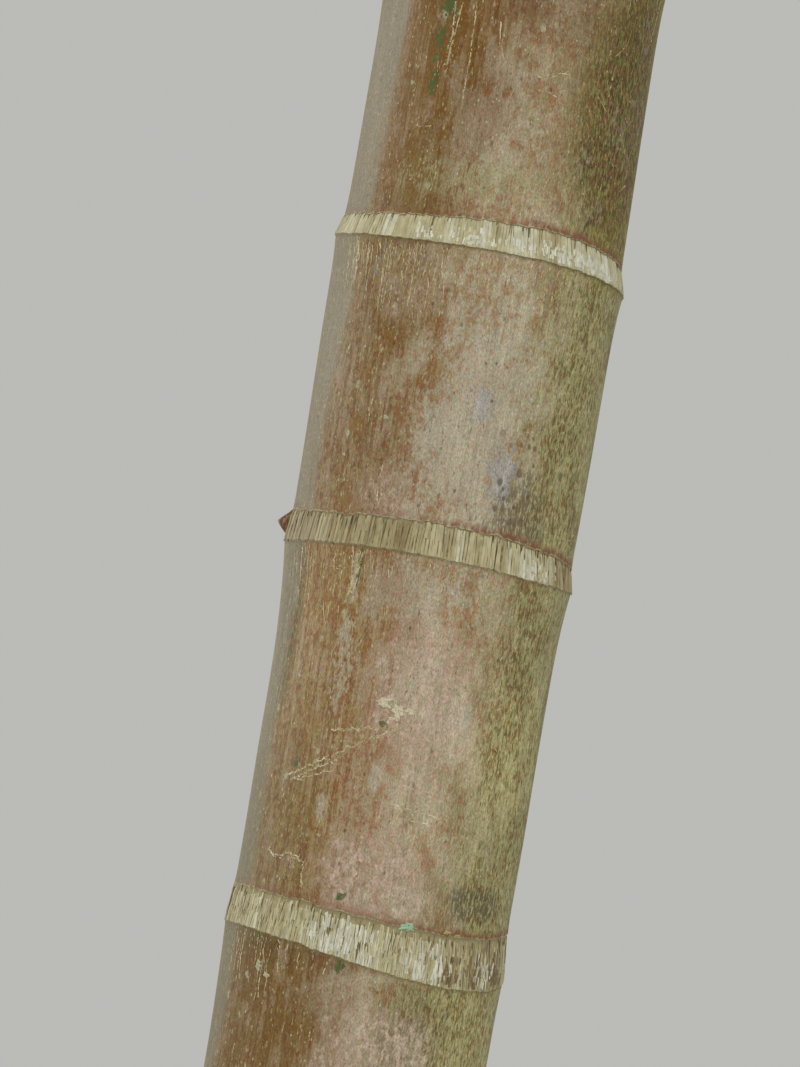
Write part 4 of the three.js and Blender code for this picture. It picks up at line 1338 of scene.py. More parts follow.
def scratch_line(corners, wander):
    """A line on the bark through those corners, lighter and darker along it and broken here and there."""
    turns, places = (np.array(part, float) for part in zip(*corners))
    strides = np.hypot(np.diff(np.radians(turns)) * EYE_RADIUS * 1000, np.diff(places))
    reach = np.concatenate([[0], np.cumsum(strides)])
    steps = np.linspace(0, reach[-1], max(4, round(reach[-1] / 1000 / SCRATCH_STEP)))
    turn = np.radians(np.interp(steps, reach, turns))
    place = np.interp(steps, reach, places) / 1000 + SCRATCH_WANDER * np.sin(steps * 0.9 + wander)
    at = on_stem(turn, place, skin_radius(turn, place))
    wavering = lambda mean, much, often, start: mean + much * np.sin(steps * often + start)
    own_tone, kept = wavering(*SCRATCH_TONE, wander), wavering(*SCRATCH_KEPT, 2.3 * wander)
    return at, along_line(at, SCRATCH_RUN), own_tone, kept, SCRATCH_SLIP, False


scratch_lines = [scratch_line(corners, k) for k, corners in enumerate(SCRATCHES)]
strands("scratches", scratch_lines, 8, 0.25, SCRATCH_CHOICES, torn_end, torn_tones)
fuzz_lines = [
    (at, run * FUZZ_RUN / SCRATCH_RUN, FUZZ_TONE, FUZZ_KEPT, FUZZ_SLIP, False)
    for at, run, *_ in (scratch_lines[k] for k in FUZZY)
]
strands("scratch_fuzz", fuzz_lines, 11, 0.3, FUZZ_CHOICES, torn_end, torn_tones)
bpy.data.objects.remove(plate)
bpy.data.objects.remove(torn_end)

# Crusts and the bud scale
# A scab of thin pale flakes, dots of mint lichen and, on the left edge of the middle ring, a dry brown
# scale of a bud that never grew.
FLAKES = [  # name, turn in degrees, and place, half width, half height and thickness in millimetres
    ("scab_1", -9, 1404.5, 4.2, 2.6, 0.5),
    ("scab_2", -3, 1400.5, 3.4, 3.6, 0.6),
    ("scab_3", 1.5, 1402.0, 2.2, 1.8, 0.4),
    ("scab_4", -5, 1396.5, 1.6, 1.3, 0.4),
    ("mint_1", 15, 1286.5, 4.2, 2.3, 0.7),
    ("mint_2", 9.5, 1290.5, 1.1, 0.8, 0.4),
    ("yellow_1", 33, 1286.0, 2.6, 1.0, 0.5),
    ("yellow_2", 38, 1284.6, 1.8, 0.9, 0.5),
    ("crumb_1", -27, 1327, 1.3, 0.9, 0.4),
    ("crumb_2", -9, 1330, 0.9, 1.5, 0.4),
    ("crumb_3", -6, 1324, 1.2, 1.0, 0.4),
    ("crumb_4", -27, 1558, 1.6, 1.1, 0.3),
    ("crumb_5", -22, 1534, 1.0, 0.8, 0.3),
    ("crumb_6", -44, 1535, 0.8, 1.2, 0.3),
    ("crumb_7", -51, 1594, 0.7, 2.0, 0.4),
    ("crumb_8", -45, 1250, 2.2, 2.6, 0.5),
    ("crumb_9", -40, 1246, 1.9, 1.5, 0.4),
    ("crumb_10", 27, 1326, 0.9, 2.6, 0.3),
    ("crumb_11", 28.5, 1318, 0.7, 1.7, 0.3),
]
FLAKE_TONES = {
    "scab": tone(202, 195, 164),
    "mint": tone(158, 192, 158),
    "yellow": tone(172, 172, 92),
    "crumb": tone(172, 174, 138),
}
FLAKE_CORNERS = 40
FLAKE_ROUNDS = [(1.0, -0.8), (1.0, 0.25), (0.82, 0.85), (0.5, 1.0), (0.2, 0.92)]  # share out, and height
FLAKE_EDGE = (0.22, 2, 9)  # how ragged its edge is, and its longest and shortest wave
FLAKE_TOP = (0.15, 3, 12)
BUD_TURN = -88
BUD_PLACES = (1.4850, 1.5012)
BUD_WIDE = 0.0052
BUD_PROUD = 0.0090
BUD_UPS = [0, 0.15, 0.3, 0.45, 0.56, 0.7, 0.85, 1]
BUD_OUTS = [0.2, 0.42, 0.68, 0.9, 1.0, 0.74, 0.44, 0.2]  # how proud it stands there, as a share
BUD_CORNERS = 24
BUD_ROUNDS = 26
BUD_SUNK = 0.001
BUD_FOOT = 0.12  # its outline is cut off this far up a full oval
BUD_POWER = 0.7
BUD_BROWN = tone(98, 62, 40)
BUD_EDGE = tone(150, 116, 76)


def flake_rows(turn, place, wide, tall, thick, seed):
    """Rounds of points from a flake's sunken edge up and in to its middle."""
    corner = -once_round(FLAKE_CORNERS)
    uneven = lambda much, longest, shortest, seed: 1 + much * ragged(corner, seed, longest, shortest)
    edge, top = uneven(*FLAKE_EDGE, seed), uneven(*FLAKE_TOP, seed + 1)
    rows = []
    for out, up in FLAKE_ROUNDS:
        high = thick * up * (top if up > 0 else 1)
        own_turn = math.radians(turn) + out * edge * wide * np.cos(corner) / EYE_RADIUS
        own_place = place + out * edge * tall * np.sin(corner)
        rows.append(on_stem(own_turn, own_place, skin_radius(own_turn, own_place) + high))
    return np.stack(rows)


def crust_finish(name, colour):
    """A dull crust, paler and darker in small grains."""
    f = Finish(name, 0.8, colour)
    place = f.own_place()
    grains = f.cloud(place, 900, 900, 2.0, 3, 0.6)
    worn = f.cloud(place, 260, 260, 5.0, 2)
    f.shade(f.plus(f.ranging(grains, 0.72, 1.0), f.ranging(worn, 0.0, 0.2)))
    f.lay(PIT_BROWN, f.spots(place, 700, 700, 3.0, 0.34, 0.3), 0.7)
    return f.done(grains, 0.0004)


crusts = {name: crust_finish(name + "_crust", colour) for name, colour in FLAKE_TONES.items()}
for n, (name, turn, place, wide, tall, thick) in enumerate(FLAKES):
    rows = flake_rows(turn, place / 1000, wide / 1000, tall / 1000, thick / 1000, 1800 + 3 * n)
    skinned(closed_skin(name, rows, {}), crusts[name.split("_")[0]], "bark", "trunk")


def bud_rows():
    """A pointed scale: rounds of points from its foot, under the bark, up and out to its tip."""
    corner = once_round(BUD_CORNERS)
    rows = []
    for up in np.linspace(0, 1, BUD_ROUNDS):
        swell = math.sin(math.pi * min(mix(BUD_FOOT, 1, up), 1)) ** BUD_POWER
        turn = math.radians(BUD_TURN) + BUD_WIDE / 2 * swell * np.cos(corner) / EYE_RADIUS
        place = mix(*BUD_PLACES, up) + 0 * corner
        out = BUD_PROUD * np.interp(up, BUD_UPS, BUD_OUTS) * (0.5 + 0.5 * np.sin(corner))
        rows.append(on_stem(turn, place, bark_radius(turn, place) - BUD_SUNK + out))
    return np.stack(rows)


def bud_finish():
    """Dry papery brown with long paler lines."""
    f = Finish("bud_scale", 0.5, BUD_BROWN)
    lines = f.cloud(f.own_place(), 900, 160, 1.0, 2, 0.6)
    f.lay(BUD_EDGE, f.between(lines, 0.45, 0.65))
    return f.done(lines, 0.0003)


skinned(closed_skin("bud_scale", bud_rows(), {}), bud_finish(), "bark", "trunk")

# Crownshaft
# The rolled bases of the ten leaves, one inside another: smooth, waxy and green, swollen just above the
# trunk. Each sheath ends in a thin rim that climbs to its own stalk and dips on the far side, so that the
# younger ones show above it.
FRONDS = 10
SEAT_GAP = 0.0003
SHAFT_LENGTH = 0.9
SHAFT_FOOT_RADIUS = 0.068
SHAFT_SWELL_RADIUS = 0.084
SHAFT_SWELL_AT = 0.15
SHAFT_NECK_RADIUS = 0.040
OLD_ROOT = 0.56
YOUNG_ROOT = 0.81
FIRST_TURN = 205
FROND_TURN = 137.5
TURN_PLAY = 5
SHEATH_STEP = 0.0011  # each sheath's outside lies this far outside the next one's
SHEATH_WALL = 0.0008
RIM_OVER_ROOT = 0.012
RIM_DIP = 0.20
RIM_POWER = 1.7
RIM_RAGGED = 0.0016
RIM_WAVES = (4, 60)
RIM_CURL = 0.0014
RIM_CURL_REACH = 0.010
RIM_FREE = 0.015  # how far a rim must stand above the ones around it to curl fully
RIM_ROUND = [(0.0005, 1.0), (0.02, 1.2)]  # the rim's inside: how far below it, and how far in, in walls
SHEATH_DENTS = 0.0007
DENTS_SHORTER = 3  # how much closer they lie along a sheath than along the trunk
OWN_DENTS = 0.00012
OWN_DENTS_ROUND = 11
SHEATH_COLUMNS = 150
SHEATH_ROW = 0.014
HIDDEN_FOOT = 0.05  # how far each inner sheath reaches down inside the one around it
SHEATH_SCURF = [(110, 40, 5.0, 0.2, 0.22), (240, 120, 7.0, 0.25, 0.2)]  # as the bark's spots
SHEATH_GREEN = tone(112, 144, 74)
SHEATH_PALE = tone(166, 184, 118)
SHEATH_DEEP = tone(78, 112, 52)
SHEATH_DRY = tone(128, 104, 66)
SHEATH_BLOOM = tone(188, 200, 176)


def shaft_radius(up):
    swell = mix(SHAFT_FOOT_RADIUS, SHAFT_SWELL_RADIUS, smooth(up, 0, SHAFT_SWELL_AT))
    return mix(swell, SHAFT_NECK_RADIUS, smooth(up, SHAFT_SWELL_AT, SHAFT_LENGTH))


def frond_turn(n):
    """Degrees anticlockwise from +X, as seen from above."""
    return FIRST_TURN + FROND_TURN * n + TURN_PLAY * play(n, 6)


def frond_root(n):
    return mix(OLD_ROOT, YOUNG_ROOT, n / (FRONDS - 1))


def rim_height(n, turn):
    toward_stalk = (1 + np.cos(turn - math.radians(frond_turn(n) + 90))) / 2
    high = frond_root(n) + RIM_OVER_ROOT
    return high - RIM_DIP * (1 - toward_stalk**RIM_POWER) + RIM_RAGGED * ragged(turn, 1200 + n, *RIM_WAVES)


def sheath_rows(n):
    turn = once_round(SHEATH_COLUMNS)
    rim = rim_height(n, turn)
    start = 0 if n == 0 else rim_height(n - 1, turn).min() - HIDDEN_FOOT
    covered = np.max([rim_height(k, turn) for k in range(n)], axis=0) if n else 0
    free = smooth(rim - covered, 0, RIM_FREE)
    count = round((rim.max() - start) / SHEATH_ROW)
    outside = SHEATH_STEP * ((FRONDS - 1) / 2 - n)
    stations = [(mix(start, rim, step / count), 0) for step in range(count + 1)]
    stations += [(rim - below, -walls * SHEATH_WALL) for below, walls in RIM_ROUND]
    rows, to_rim = [], []
    for up, inward in stations:
        dents = SHEATH_DENTS * unevenness(turn, DENTS_SHORTER * up)
        dents = dents + OWN_DENTS * np.cos(OWN_DENTS_ROUND * turn + 4 * n)
        curl = RIM_CURL * np.exp(-(rim - up) / RIM_CURL_REACH) * free
        radius = shaft_radius(up) + outside + inward + dents + curl
        rows.append(on_stem(turn, TRUNK_LENGTH + SEAT_GAP + up, radius))
        to_rim.append(rim - up)
    up = np.stack([station[0] + 0 * turn for station in stations])
    return np.stack(rows), {"straight": unbent(turn, up), "to_rim": np.stack(to_rim)}


def sheath_finish():
    """Waxy green with fine upright lines, pale bloom, darker streaks and a thin dry rim."""
    f = Finish("sheath", 0.34, SHEATH_GREEN)
    straight, to_rim = f.mark("straight"), f.mark("to_rim", "Fac")
    lines = f.cloud(straight, 420, 6, 1.0, 2, 0.6)
    soft = f.cloud(straight, 26, 5, 2.0, 3)
    fleck = f.cloud(straight, 90, 30, 3.0, 3, 0.6)
    f.lay(SHEATH_DEEP, f.between(soft, 0.38, 0.66))
    f.lay(SHEATH_PALE, f.falling(f.split(straight)[2], 0.0, 0.3), 0.7)
    f.lay(SHEATH_BLOOM, f.between(fleck, 0.52, 0.7), 0.35)
    f.shade(f.ranging(lines, 0.9, 1.1))
    scurf = f.any_of(*(f.spots(straight, *spots) for spots in SHEATH_SCURF))
    f.lay(SHEATH_DRY, scurf, 0.6)
    near_rim = f.plus(to_rim, f.all_of(fleck, 0.014))
    f.lay(SHEATH_PALE, f.between(near_rim, 0.008, 0.04, 0.5, 0.0))
    f.lay(SHEATH_DRY, f.falling(near_rim, 0.0075, 0.0125))
    return f.done(f.plus(lines, f.all_of(scurf, 0.6)), 0.0004, f.ranging(fleck, 0.28, 0.46))


sheath_green = sheath_finish()
for n in range(FRONDS):
    skinned(closed_skin(f"sheath_{n + 1:02d}", *sheath_rows(n)), sheath_green, "sheath", "crownshaft")

# Spear
# The newest leaf, which stands straight up out of the crownshaft, still rolled: its leaflets lie pressed
# together in long pleats that wind a little, and it tapers to a point.
SPEAR_LENGTH = 1.15
SPEAR_RADIUS = 0.017
SPEAR_OUTLINE = [(0, 1), (0.3, 1.15), (0.7, 0.7), (1, 0.03)]
SPEAR_PLEATS = 9
SPEAR_WIND = 2.4
PLEAT_DEEP = 0.07
PLEAT_LONG_SIDE = 0.82  # share of a pleat that climbs, before its short side falls back
SPEAR_ROWS = 90
SPEAR_COLUMNS = 108
SPEAR_GREEN = tone(158, 180, 92)
SPEAR_TIP = tone(112, 142, 66)


def spear_rows():
    turn = once_round(SPEAR_COLUMNS)
    foot = TRUNK_LENGTH + SHAFT_LENGTH + 2 * SEAT_GAP
    shares, widths = zip(*SPEAR_OUTLINE)
    rows, ups = [], []
    for share in np.linspace(0, 1, SPEAR_ROWS):
        wound = (SPEAR_PLEATS * (turn - SPEAR_WIND * share)) / (2 * math.pi) % 1
        pleat = np.minimum(wound / PLEAT_LONG_SIDE, (1 - wound) / (1 - PLEAT_LONG_SIDE))
        pleat = mix(1 - PLEAT_DEEP, 1, pleat)
        radius = SPEAR_RADIUS * np.interp(share, shares, widths) * pleat
        rows.append(on_stem(turn, foot + SPEAR_LENGTH * share, radius))
        ups.append(share + 0 * turn)
    return np.stack(rows), {"up_leaf": np.stack(ups)}


def spear_finish():
    """Pale yellow-green, darker towards its tip, with long fine lines."""
    f = Finish("spear", 0.42, SPEAR_GREEN)
    place = f.own_place()
    lines = f.cloud(place, 520, 8, 1.0, 2, 0.6)
    soft = f.cloud(place, 60, 9, 2.0, 2)
    f.lay(SPEAR_TIP, f.between(f.mark("up_leaf", "Fac"), 0.35, 1.0))
    f.shade(f.ranging(lines, 0.86, 1.12))
    f.shade(f.ranging(soft, 0.92, 1.08))
    return f.done(lines, 0.0004)


skinned(closed_skin("spear_leaf", *spear_rows()), spear_finish(), "spear_leaf", "spear")

# Frond stalks
# Each leaf's stalk is channelled above where it leaves its sheath, and runs on as a midrib with a keel
# above and a rounded back, arching further over the older the leaf is.
OLD_RISE = 30
YOUNG_RISE = 80
RISE_POWER = 0.85
OLD_BEND = 76
YOUNG_BEND = 26
BEND_POWER = 1.35
OLD_LENGTH = 2.15
YOUNG_LENGTH = 1.98
PEEL_RISE = 86
PEEL_REACH = 0.035
ROLL_PLAY = 16
BEND_PLAY = 5
LENGTH_PLAY = 0.04
SPLIT_BEND = 50
RIB_WIDE = 0.031
RIB_DEEP = 0.015
RIB_TIP = 0.004
WIDE_POWER = 2.2
DEEP_POWER = 1.6
FOOT_DEEP = 0.55
FOOT_REACH = 0.03
SUNK_SHARE = 0.35
PATH_STEPS = 480
STALK_FOOT = [  # below its root, its width as a share of the stalk's, and how proud its back stands
    (0.19, 0.5, -0.003),
    (0.15, 0.75, -0.0004),
    (0.115, 0.95, 0.0009),
    (0.08, 1.05, 0.0018),
    (0.05, 1.06, 0.0026),
    (0.025, 1.03, 0.0033),
    (0.01, 1.01, 0.0037),
]
STALK_FOOT_SUNK = 0.004
STALK_EDGE_SUNK = 0.001
STALK_BACK_POWER = 0.7
STALK_STATIONS = 72
STALK_CROWDING = 1.35
STALK_CORNERS = 16
CHANNEL = -0.35  # how high the stalk's upper side stands at first, as a share of its depth
KEEL = 0.9
KEEL_STARTS = 0.08
KEEL_WHOLE = 0.3
KEEL_FLAT = 0.25
KEEL_POWER = 1.2
TIP_STARTS = 0.985
TIP_NARROWED = 0.7
STALK_GREEN = tone(124, 150, 72)
STALK_PALE = tone(176, 186, 104)
STALK_BACK = tone(150, 160, 92)
STALK_SCURF = tone(116, 94, 62)


def frond_plan(n):
    """What sets one frond apart, from 0, the oldest."""
    youth = n / (FRONDS - 1)
    return {
        "number": n,
        "youth": youth,
        "rise": mix(OLD_RISE, YOUNG_RISE, youth**RISE_POWER),
        "bend": mix(OLD_BEND, YOUNG_BEND, youth) + BEND_PLAY * play(n, 5),
        "turn": math.radians(frond_turn(n)),
        "roll": math.radians(ROLL_PLAY) * play(n, 7),
        "length": mix(OLD_LENGTH, YOUNG_LENGTH, youth) * (1 + LENGTH_PLAY * play(n, 8)),
    }


def frond_frame(plan, share):
    """Places and directions at shares of the length: ahead to the tip, side across the blade, up."""
    share = np.atleast_1d(np.asarray(share, float))
    peeling = lambda t: mix(plan["rise"], PEEL_RISE, np.exp(-t / PEEL_REACH))
    rise_at = lambda t: np.radians(peeling(t) - plan["bend"] * t**BEND_POWER)
    flat = np.array([math.cos(plan["turn"]), math.sin(plan["turn"]), 0])
    level = np.array([-math.sin(plan["turn"]), math.cos(plan["turn"]), 0])
    root = frond_root(plan["number"])
    seat = shaft_radius(root) - RIB_DEEP * SUNK_SHARE
    steps = (np.arange(PATH_STEPS) + 0.5) / PATH_STEPS
    edges = np.arange(PATH_STEPS + 1) / PATH_STEPS
    stride = plan["length"] / PATH_STEPS
    path = lambda part: np.concatenate([[0], np.cumsum(stride * part(rise_at(steps)))])
    out, high = (np.interp(share, edges, path(part)) for part in (np.cos, np.sin))
    at = axis_at(TRUNK_LENGTH + SEAT_GAP + root) + (seat + out)[:, None] * flat + high[:, None] * [0, 0, 1]
    rise = rise_at(share)[:, None]
    ahead = flat * np.cos(rise) + np.array([0, 0, 1]) * np.sin(rise)
    roll = (plan["roll"] * share)[:, None]
    side = level * np.cos(roll) + np.cross(ahead, level) * np.sin(roll)
    return at, ahead, side, np.cross(ahead, side)


def rib_size(share):
    wide = mix(RIB_TIP, RIB_WIDE, (1 - share) ** WIDE_POWER)
    deep = mix(RIB_TIP, RIB_DEEP, (1 - share) ** DEEP_POWER)
    return wide, deep * mix(FOOT_DEEP, 1, smooth(share, 0, FOOT_REACH))


def stalk_rows(plan):
    share = np.linspace(0, 1, STALK_STATIONS) ** STALK_CROWDING
    at, ahead, side, up = frond_frame(plan, share)
    wide, deep = rib_size(share)
    wide = wide * (1 - smooth(share, TIP_STARTS, 1.0) * TIP_NARROWED)
    corner = once_round(STALK_CORNERS)
    keel = mix(CHANNEL, KEEL, smooth(share, KEEL_STARTS, KEEL_WHOLE))[:, None]
    above = KEEL_FLAT + keel * (1 - np.abs(np.cos(corner))) ** KEEL_POWER
    high = deep[:, None] * np.where(np.sin(corner) > 1e-6, above, np.sin(corner)) + 0 * keel
    across = wide[:, None] * np.cos(corner)
    rows = at[:, None] + across[..., None] * side[:, None] + high[..., None] * up[:, None]
    marks = [share[:, None] + 0 * across, np.cos(corner) + 0 * across, np.sin(corner) + 0 * across]
    return rows, {"stalk_marks": np.stack(marks, -1)}


def stalk_foot(plan):
    """Rows below the root, where the stalk's back sinks into its own sheath."""
    corner = once_round(STALK_CORNERS)
    outer = np.maximum(-np.sin(corner), 0) ** STALK_BACK_POWER
    inner = np.maximum(np.sin(corner), 0)
    offset = SHEATH_STEP * ((FRONDS - 1) / 2 - plan["number"])
    rows, marks = [], []
    for below, widening, proud in STALK_FOOT:
        up = frond_root(plan["number"]) - below
        radius = shaft_radius(up) + offset
        turn = plan["turn"] + math.pi / 2 + RIB_WIDE * widening * np.cos(corner) / radius
        radius = radius + SHEATH_DENTS * unevenness(turn, DENTS_SHORTER * up)
        away = (proud + STALK_EDGE_SUNK) * outer - STALK_EDGE_SUNK - STALK_FOOT_SUNK * inner
        rows.append(on_stem(turn, TRUNK_LENGTH + SEAT_GAP + up, radius + away))
        marks.append(np.stack([0 * corner - below, np.cos(corner), np.sin(corner)], -1))
    return np.stack(rows), np.stack(marks)


def stalk_finish():
    """Green above, paler at its back and edges, with brown scurf near its foot and fine long lines."""
    f = Finish("stalk", 0.42, STALK_GREEN)
    place = f.own_place()
    share, _, back = f.split(f.mark("stalk_marks"))
    soft = f.cloud(place, 30, 30, 1.0, 3)
    fine = f.cloud(place, 240, 240, 2.0, 3, 0.6)
    lines = f.cloud(place, 260, 20, 4.0, 2, 0.6)
    f.lay(STALK_BACK, f.falling(back, -0.9, 0.2))
    f.lay(STALK_PALE, f.between(soft, 0.4, 0.65), 0.5)
    f.lay(SHEATH_GREEN, f.falling(f.plus(share, f.all_of(soft, 0.04)), -0.04, 0.1))
    f.shade(f.ranging(lines, 0.9, 1.1))
    thinning = f.between(share, 0.02, 0.25, 0.7, 0.12)
    f.lay(STALK_SCURF, f.between(fine, 0.53, 0.63), thinning, f.between(share, 0.0, 0.03))
    return f.done(fine, 0.0004, f.ranging(soft, 0.34, 0.5))


def frond_nodes(plan):
    name = f"frond_{plan['number'] + 1:02d}"
    return [name + "_inner", name + "_outer"] if plan["bend"] > SPLIT_BEND else [name]


stalk_green = stalk_finish()
plans = [frond_plan(n) for n in range(FRONDS)]
stalk_rows_of = [stalk_rows(plan) for plan in plans]
for plan, (rows, marks) in zip(plans, stalk_rows_of):
    foot_rows, foot_marks = stalk_foot(plan)
    marks = {"stalk_marks": np.concatenate([foot_marks, marks["stalk_marks"]])}
    stalk_mesh = closed_skin(f"stalk_{plan['number'] + 1:02d}", np.concatenate([foot_rows, rows]), marks)
    skinned(stalk_mesh, stalk_green, "frond_leaf", *frond_nodes(plan))

# Leaflets
# Two close rows of long pleated blades on each midrib, folded down on both sides of their middle and
# bitten off at their ends. They grow by the rule of the solids, two for each one there, and turn down
# under their own weight. One that would cross another frond is lifted or lowered, or left out.
LEAFLETS_A_SIDE = 33
BLADE_STARTS = 0.15
BLADE_ENDS = 0.985
LEAFLET_LENGTH = 0.62
LONGEST_AT = 0.36
FIRST_SHARE = 0.72
LAST_SHARE = 0.42
ROOT_ANGLE = 68
TIP_ANGLE = 24
ANGLE_POWER = 1.2
LEAST_ANGLE = 34
YOUNG_LIFT = 34
OLD_LIFT = 12
LIFT_LOST = 0.5
YOUNG_DROOP = 0.35
OLD_DROOP = 0.95
WIDTH_FILL = 0.98
LENGTH_VARIES = 0.03
LIFT_VARIES = 4
ANGLE_VARIES = 2
LIFT_TRIES = [0, 14, -14, 28]
SUNK_ROOT = 0.005
STALK_STEPS = (3, 2)  # which rows and columns of a stalk and of the spear are tested for crossings
SPEAR_STEPS = (9, 9)
SHAFT_ROWS = 12
SHAFT_COLUMNS = 24
CLEAR_OF_ROOT = 0.01  # where the outline starts that is tested for crossings
END_SHARE = 0.2  # half its width at both ends, as a share of the blade's
STRIP_FACES = [(0, 1, 3, 2), (2, 3, 5, 4)]
BLADE_UPS = [0, 0.07, 0.2, 0.36, 0.55, 0.74, 0.9, 1]
BLADE_WIDTHS = [0.34, 0.55, 0.84, 1.0, 1.0, 0.85, 0.64, 0.46]  # its width there, as a share
BLADE_FOLDS = [(-0.5, -0.16), (-0.24, -0.02), (0.0, 0.10), (0.24, -0.02), (0.5, -0.16)]  # across and up
BLADE_TEETH = [-0.035, 0.0, -0.02, 0.0, -0.045]  # how far each fold is bitten off at the end
ROOT_FOLD = 1.6  # how much deeper the folds are at the root
BLADE_THICK = 0.028  # of its width
BLADE_CREASE = math.radians(40)
LEAF_RIBS = 90
LEAF_YELLOW = tone(150, 146, 66)
LEAF_DRY = tone(140, 112, 70)
LEAF_GREENS = [tone(58, 98, 40), tone(70, 112, 46), tone(86, 126, 54), tone(112, 140, 62)]
OLD_GREEN = 0.4  # which of the greens, on average
YOUNG_GREEN = 2.6
GREEN_PLAY = 0.9


def leaflet_shapes(plan, hand):
    """Roots and sizes of one side's leaflets, and a function that gives their directions for a lift."""
    step = np.arange(LEAFLETS_A_SIDE)
    share = mix(BLADE_STARTS, BLADE_ENDS, step / (LEAFLETS_A_SIDE - 1))
    along = (share - BLADE_STARTS) / (BLADE_ENDS - BLADE_STARTS)
    first = 1000 * plan["number"] + 100 * (hand + 1)
    own = lambda purpose: np.array([play(first + int(k), purpose) for k in step])
    rising = mix(FIRST_SHARE, 1, smooth(along, 0, LONGEST_AT))
    falling = mix(1, LAST_SHARE, (along - LONGEST_AT) / (1 - LONGEST_AT))
    length = LEAFLET_LENGTH * np.where(along < LONGEST_AT, rising, falling)
    length = length * (1 - LENGTH_VARIES * (1 + own(11)) / 2)
    angle = np.radians(mix(ROOT_ANGLE, TIP_ANGLE, along**ANGLE_POWER) + ANGLE_VARIES * own(12))
    lift = mix(OLD_LIFT, YOUNG_LIFT, plan["youth"]) * (1 - LIFT_LOST * along) + LIFT_VARIES * own(13)
    at, ahead, side, up = frond_frame(plan, share)
    spacing = plan["length"] * (BLADE_ENDS - BLADE_STARTS) / (LEAFLETS_A_SIDE - 1)
    width = WIDTH_FILL * spacing * np.sin(np.maximum(angle, math.radians(LEAST_ANGLE)))
    root = at + side * (hand * rib_size(share)[0])[:, None]

    def directions(k, more):
        raised = math.radians(lift[k] + more)
        outward = side[k] * hand * math.cos(raised) + up[k] * math.sin(raised)
        run = ahead[k] * math.cos(angle[k]) + outward * math.sin(angle[k])
        hanging = run - np.array([0, 0, mix(OLD_DROOP, YOUNG_DROOP, plan["youth"])])
        hanging = hanging / np.linalg.norm(hanging)
        across = ahead[k] - run * ahead[k].dot(run)
        across = across / np.linalg.norm(across)
        face = np.cross(run, across)
        return run, hanging, across, face * (1 if face.dot(up[k]) > 0 else -1)

    return root, length, width, directions


def leaflet_strip(root, run, hanging, across, length, width):
    """A leaflet's plain outline, to test what it would cross."""
    start, middle = root + run * CLEAR_OF_ROOT, root + run * length / 2
    stations = [(start, END_SHARE), (middle, 0.5), (middle + hanging * length / 2, END_SHARE)]
    return [at + hand * share * width * across for at, share in stations for hand in (1, -1)]


def rows_tree(rows):
    """The walls of a skin as a tree of faces that can be asked what they cross."""
    return BVHTree.FromPolygons(rows.reshape(-1, 3).tolist(), wall_faces(*rows.shape[:2]).tolist())


def grow_leaflets():
    """Every frond's leaflets, oldest frond first, as rows of values for the blades."""
    thinned = lambda rows, steps: rows_tree(rows[:: steps[0], :: steps[1]])
    ribs = [thinned(rows, STALK_STEPS) for rows, _ in stalk_rows_of]
    turn, ups = once_round(SHAFT_COLUMNS), np.linspace(0, SHAFT_LENGTH, SHAFT_ROWS)
    shaft = rows_tree(np.stack([on_stem(turn, TRUNK_LENGTH + up, shaft_radius(up)) for up in ups]))
    spear = thinned(spear_rows()[0], SPEAR_STEPS)
    grown, older = [], []
    for plan in plans:
        others = [rib for n, rib in enumerate(ribs) if n != plan["number"]] + [shaft, spear] + older
        blades, corners, faces = [], [], []
        for hand in (1, -1):
            root, length, width, directions = leaflet_shapes(plan, hand)
            for k in range(LEAFLETS_A_SIDE):
                for more in LIFT_TRIES:
                    run, hanging, across, face = directions(k, more)
                    strip = leaflet_strip(root[k], run, hanging, across, length[k], width[k])
                    tree = BVHTree.FromPolygons([tuple(p) for p in strip], STRIP_FACES)
                    if any(tree.overlap(other) for other in others):
                        continue
                    sunk, hang = root[k] - run * SUNK_ROOT, (hanging - run) * length[k] / 2
                    blades.append((sunk, run, face, hang, width[k], length[k]))
                    faces += [tuple(len(corners) + corner for corner in side) for side in STRIP_FACES]
                    corners += [tuple(p) for p in strip]
                    break
        older.append(BVHTree.FromPolygons(corners, faces))
        grown.append(blades)
    return grown


def blade_pattern():
    """One leaflet of length 1 along Z and width 1 along X, its upper side towards Y."""
    points, ups = [], []
    for up, share in zip(BLADE_UPS, BLADE_WIDTHS):
        fold = ROOT_FOLD if up == 0 else 1
        bites = BLADE_TEETH if up == 1 else [0] * len(BLADE_TEETH)
        upper = [
            (x * share, y * share * fold + BLADE_THICK / 2, up + bite)
            for (x, y), bite in zip(BLADE_FOLDS, bites)
        ]
        lower = [(x, y - BLADE_THICK, z) for x, y, z in reversed(upper)]
        points += upper + lower
        ups += [up] * len(upper + lower)
    around = 2 * len(BLADE_FOLDS)
    last = len(points) - around
    faces = wall_faces(len(BLADE_UPS), around, True).tolist()
    for c in range(len(BLADE_FOLDS) - 1):
        faces.append((c, c + 1, around - 2 - c, around - 1 - c))
        faces.append((last + around - 1 - c, last + around - 2 - c, last + c + 1, last + c))
    mesh = bpy.data.meshes.new("blade pattern")
    mesh.from_pydata(points, [], faces)
    mesh.polygons.foreach_set("use_smooth", np.ones(len(faces), bool))
    mesh.set_sharp_from_angle(angle=BLADE_CREASE)
    mesh.attributes.new("up_blade", "FLOAT", "POINT").data.foreach_set("value", ups)
    mesh.attributes.new("across_blade", "FLOAT", "POINT").data.foreach_set("value", [p[0] for p in points])
    return mesh


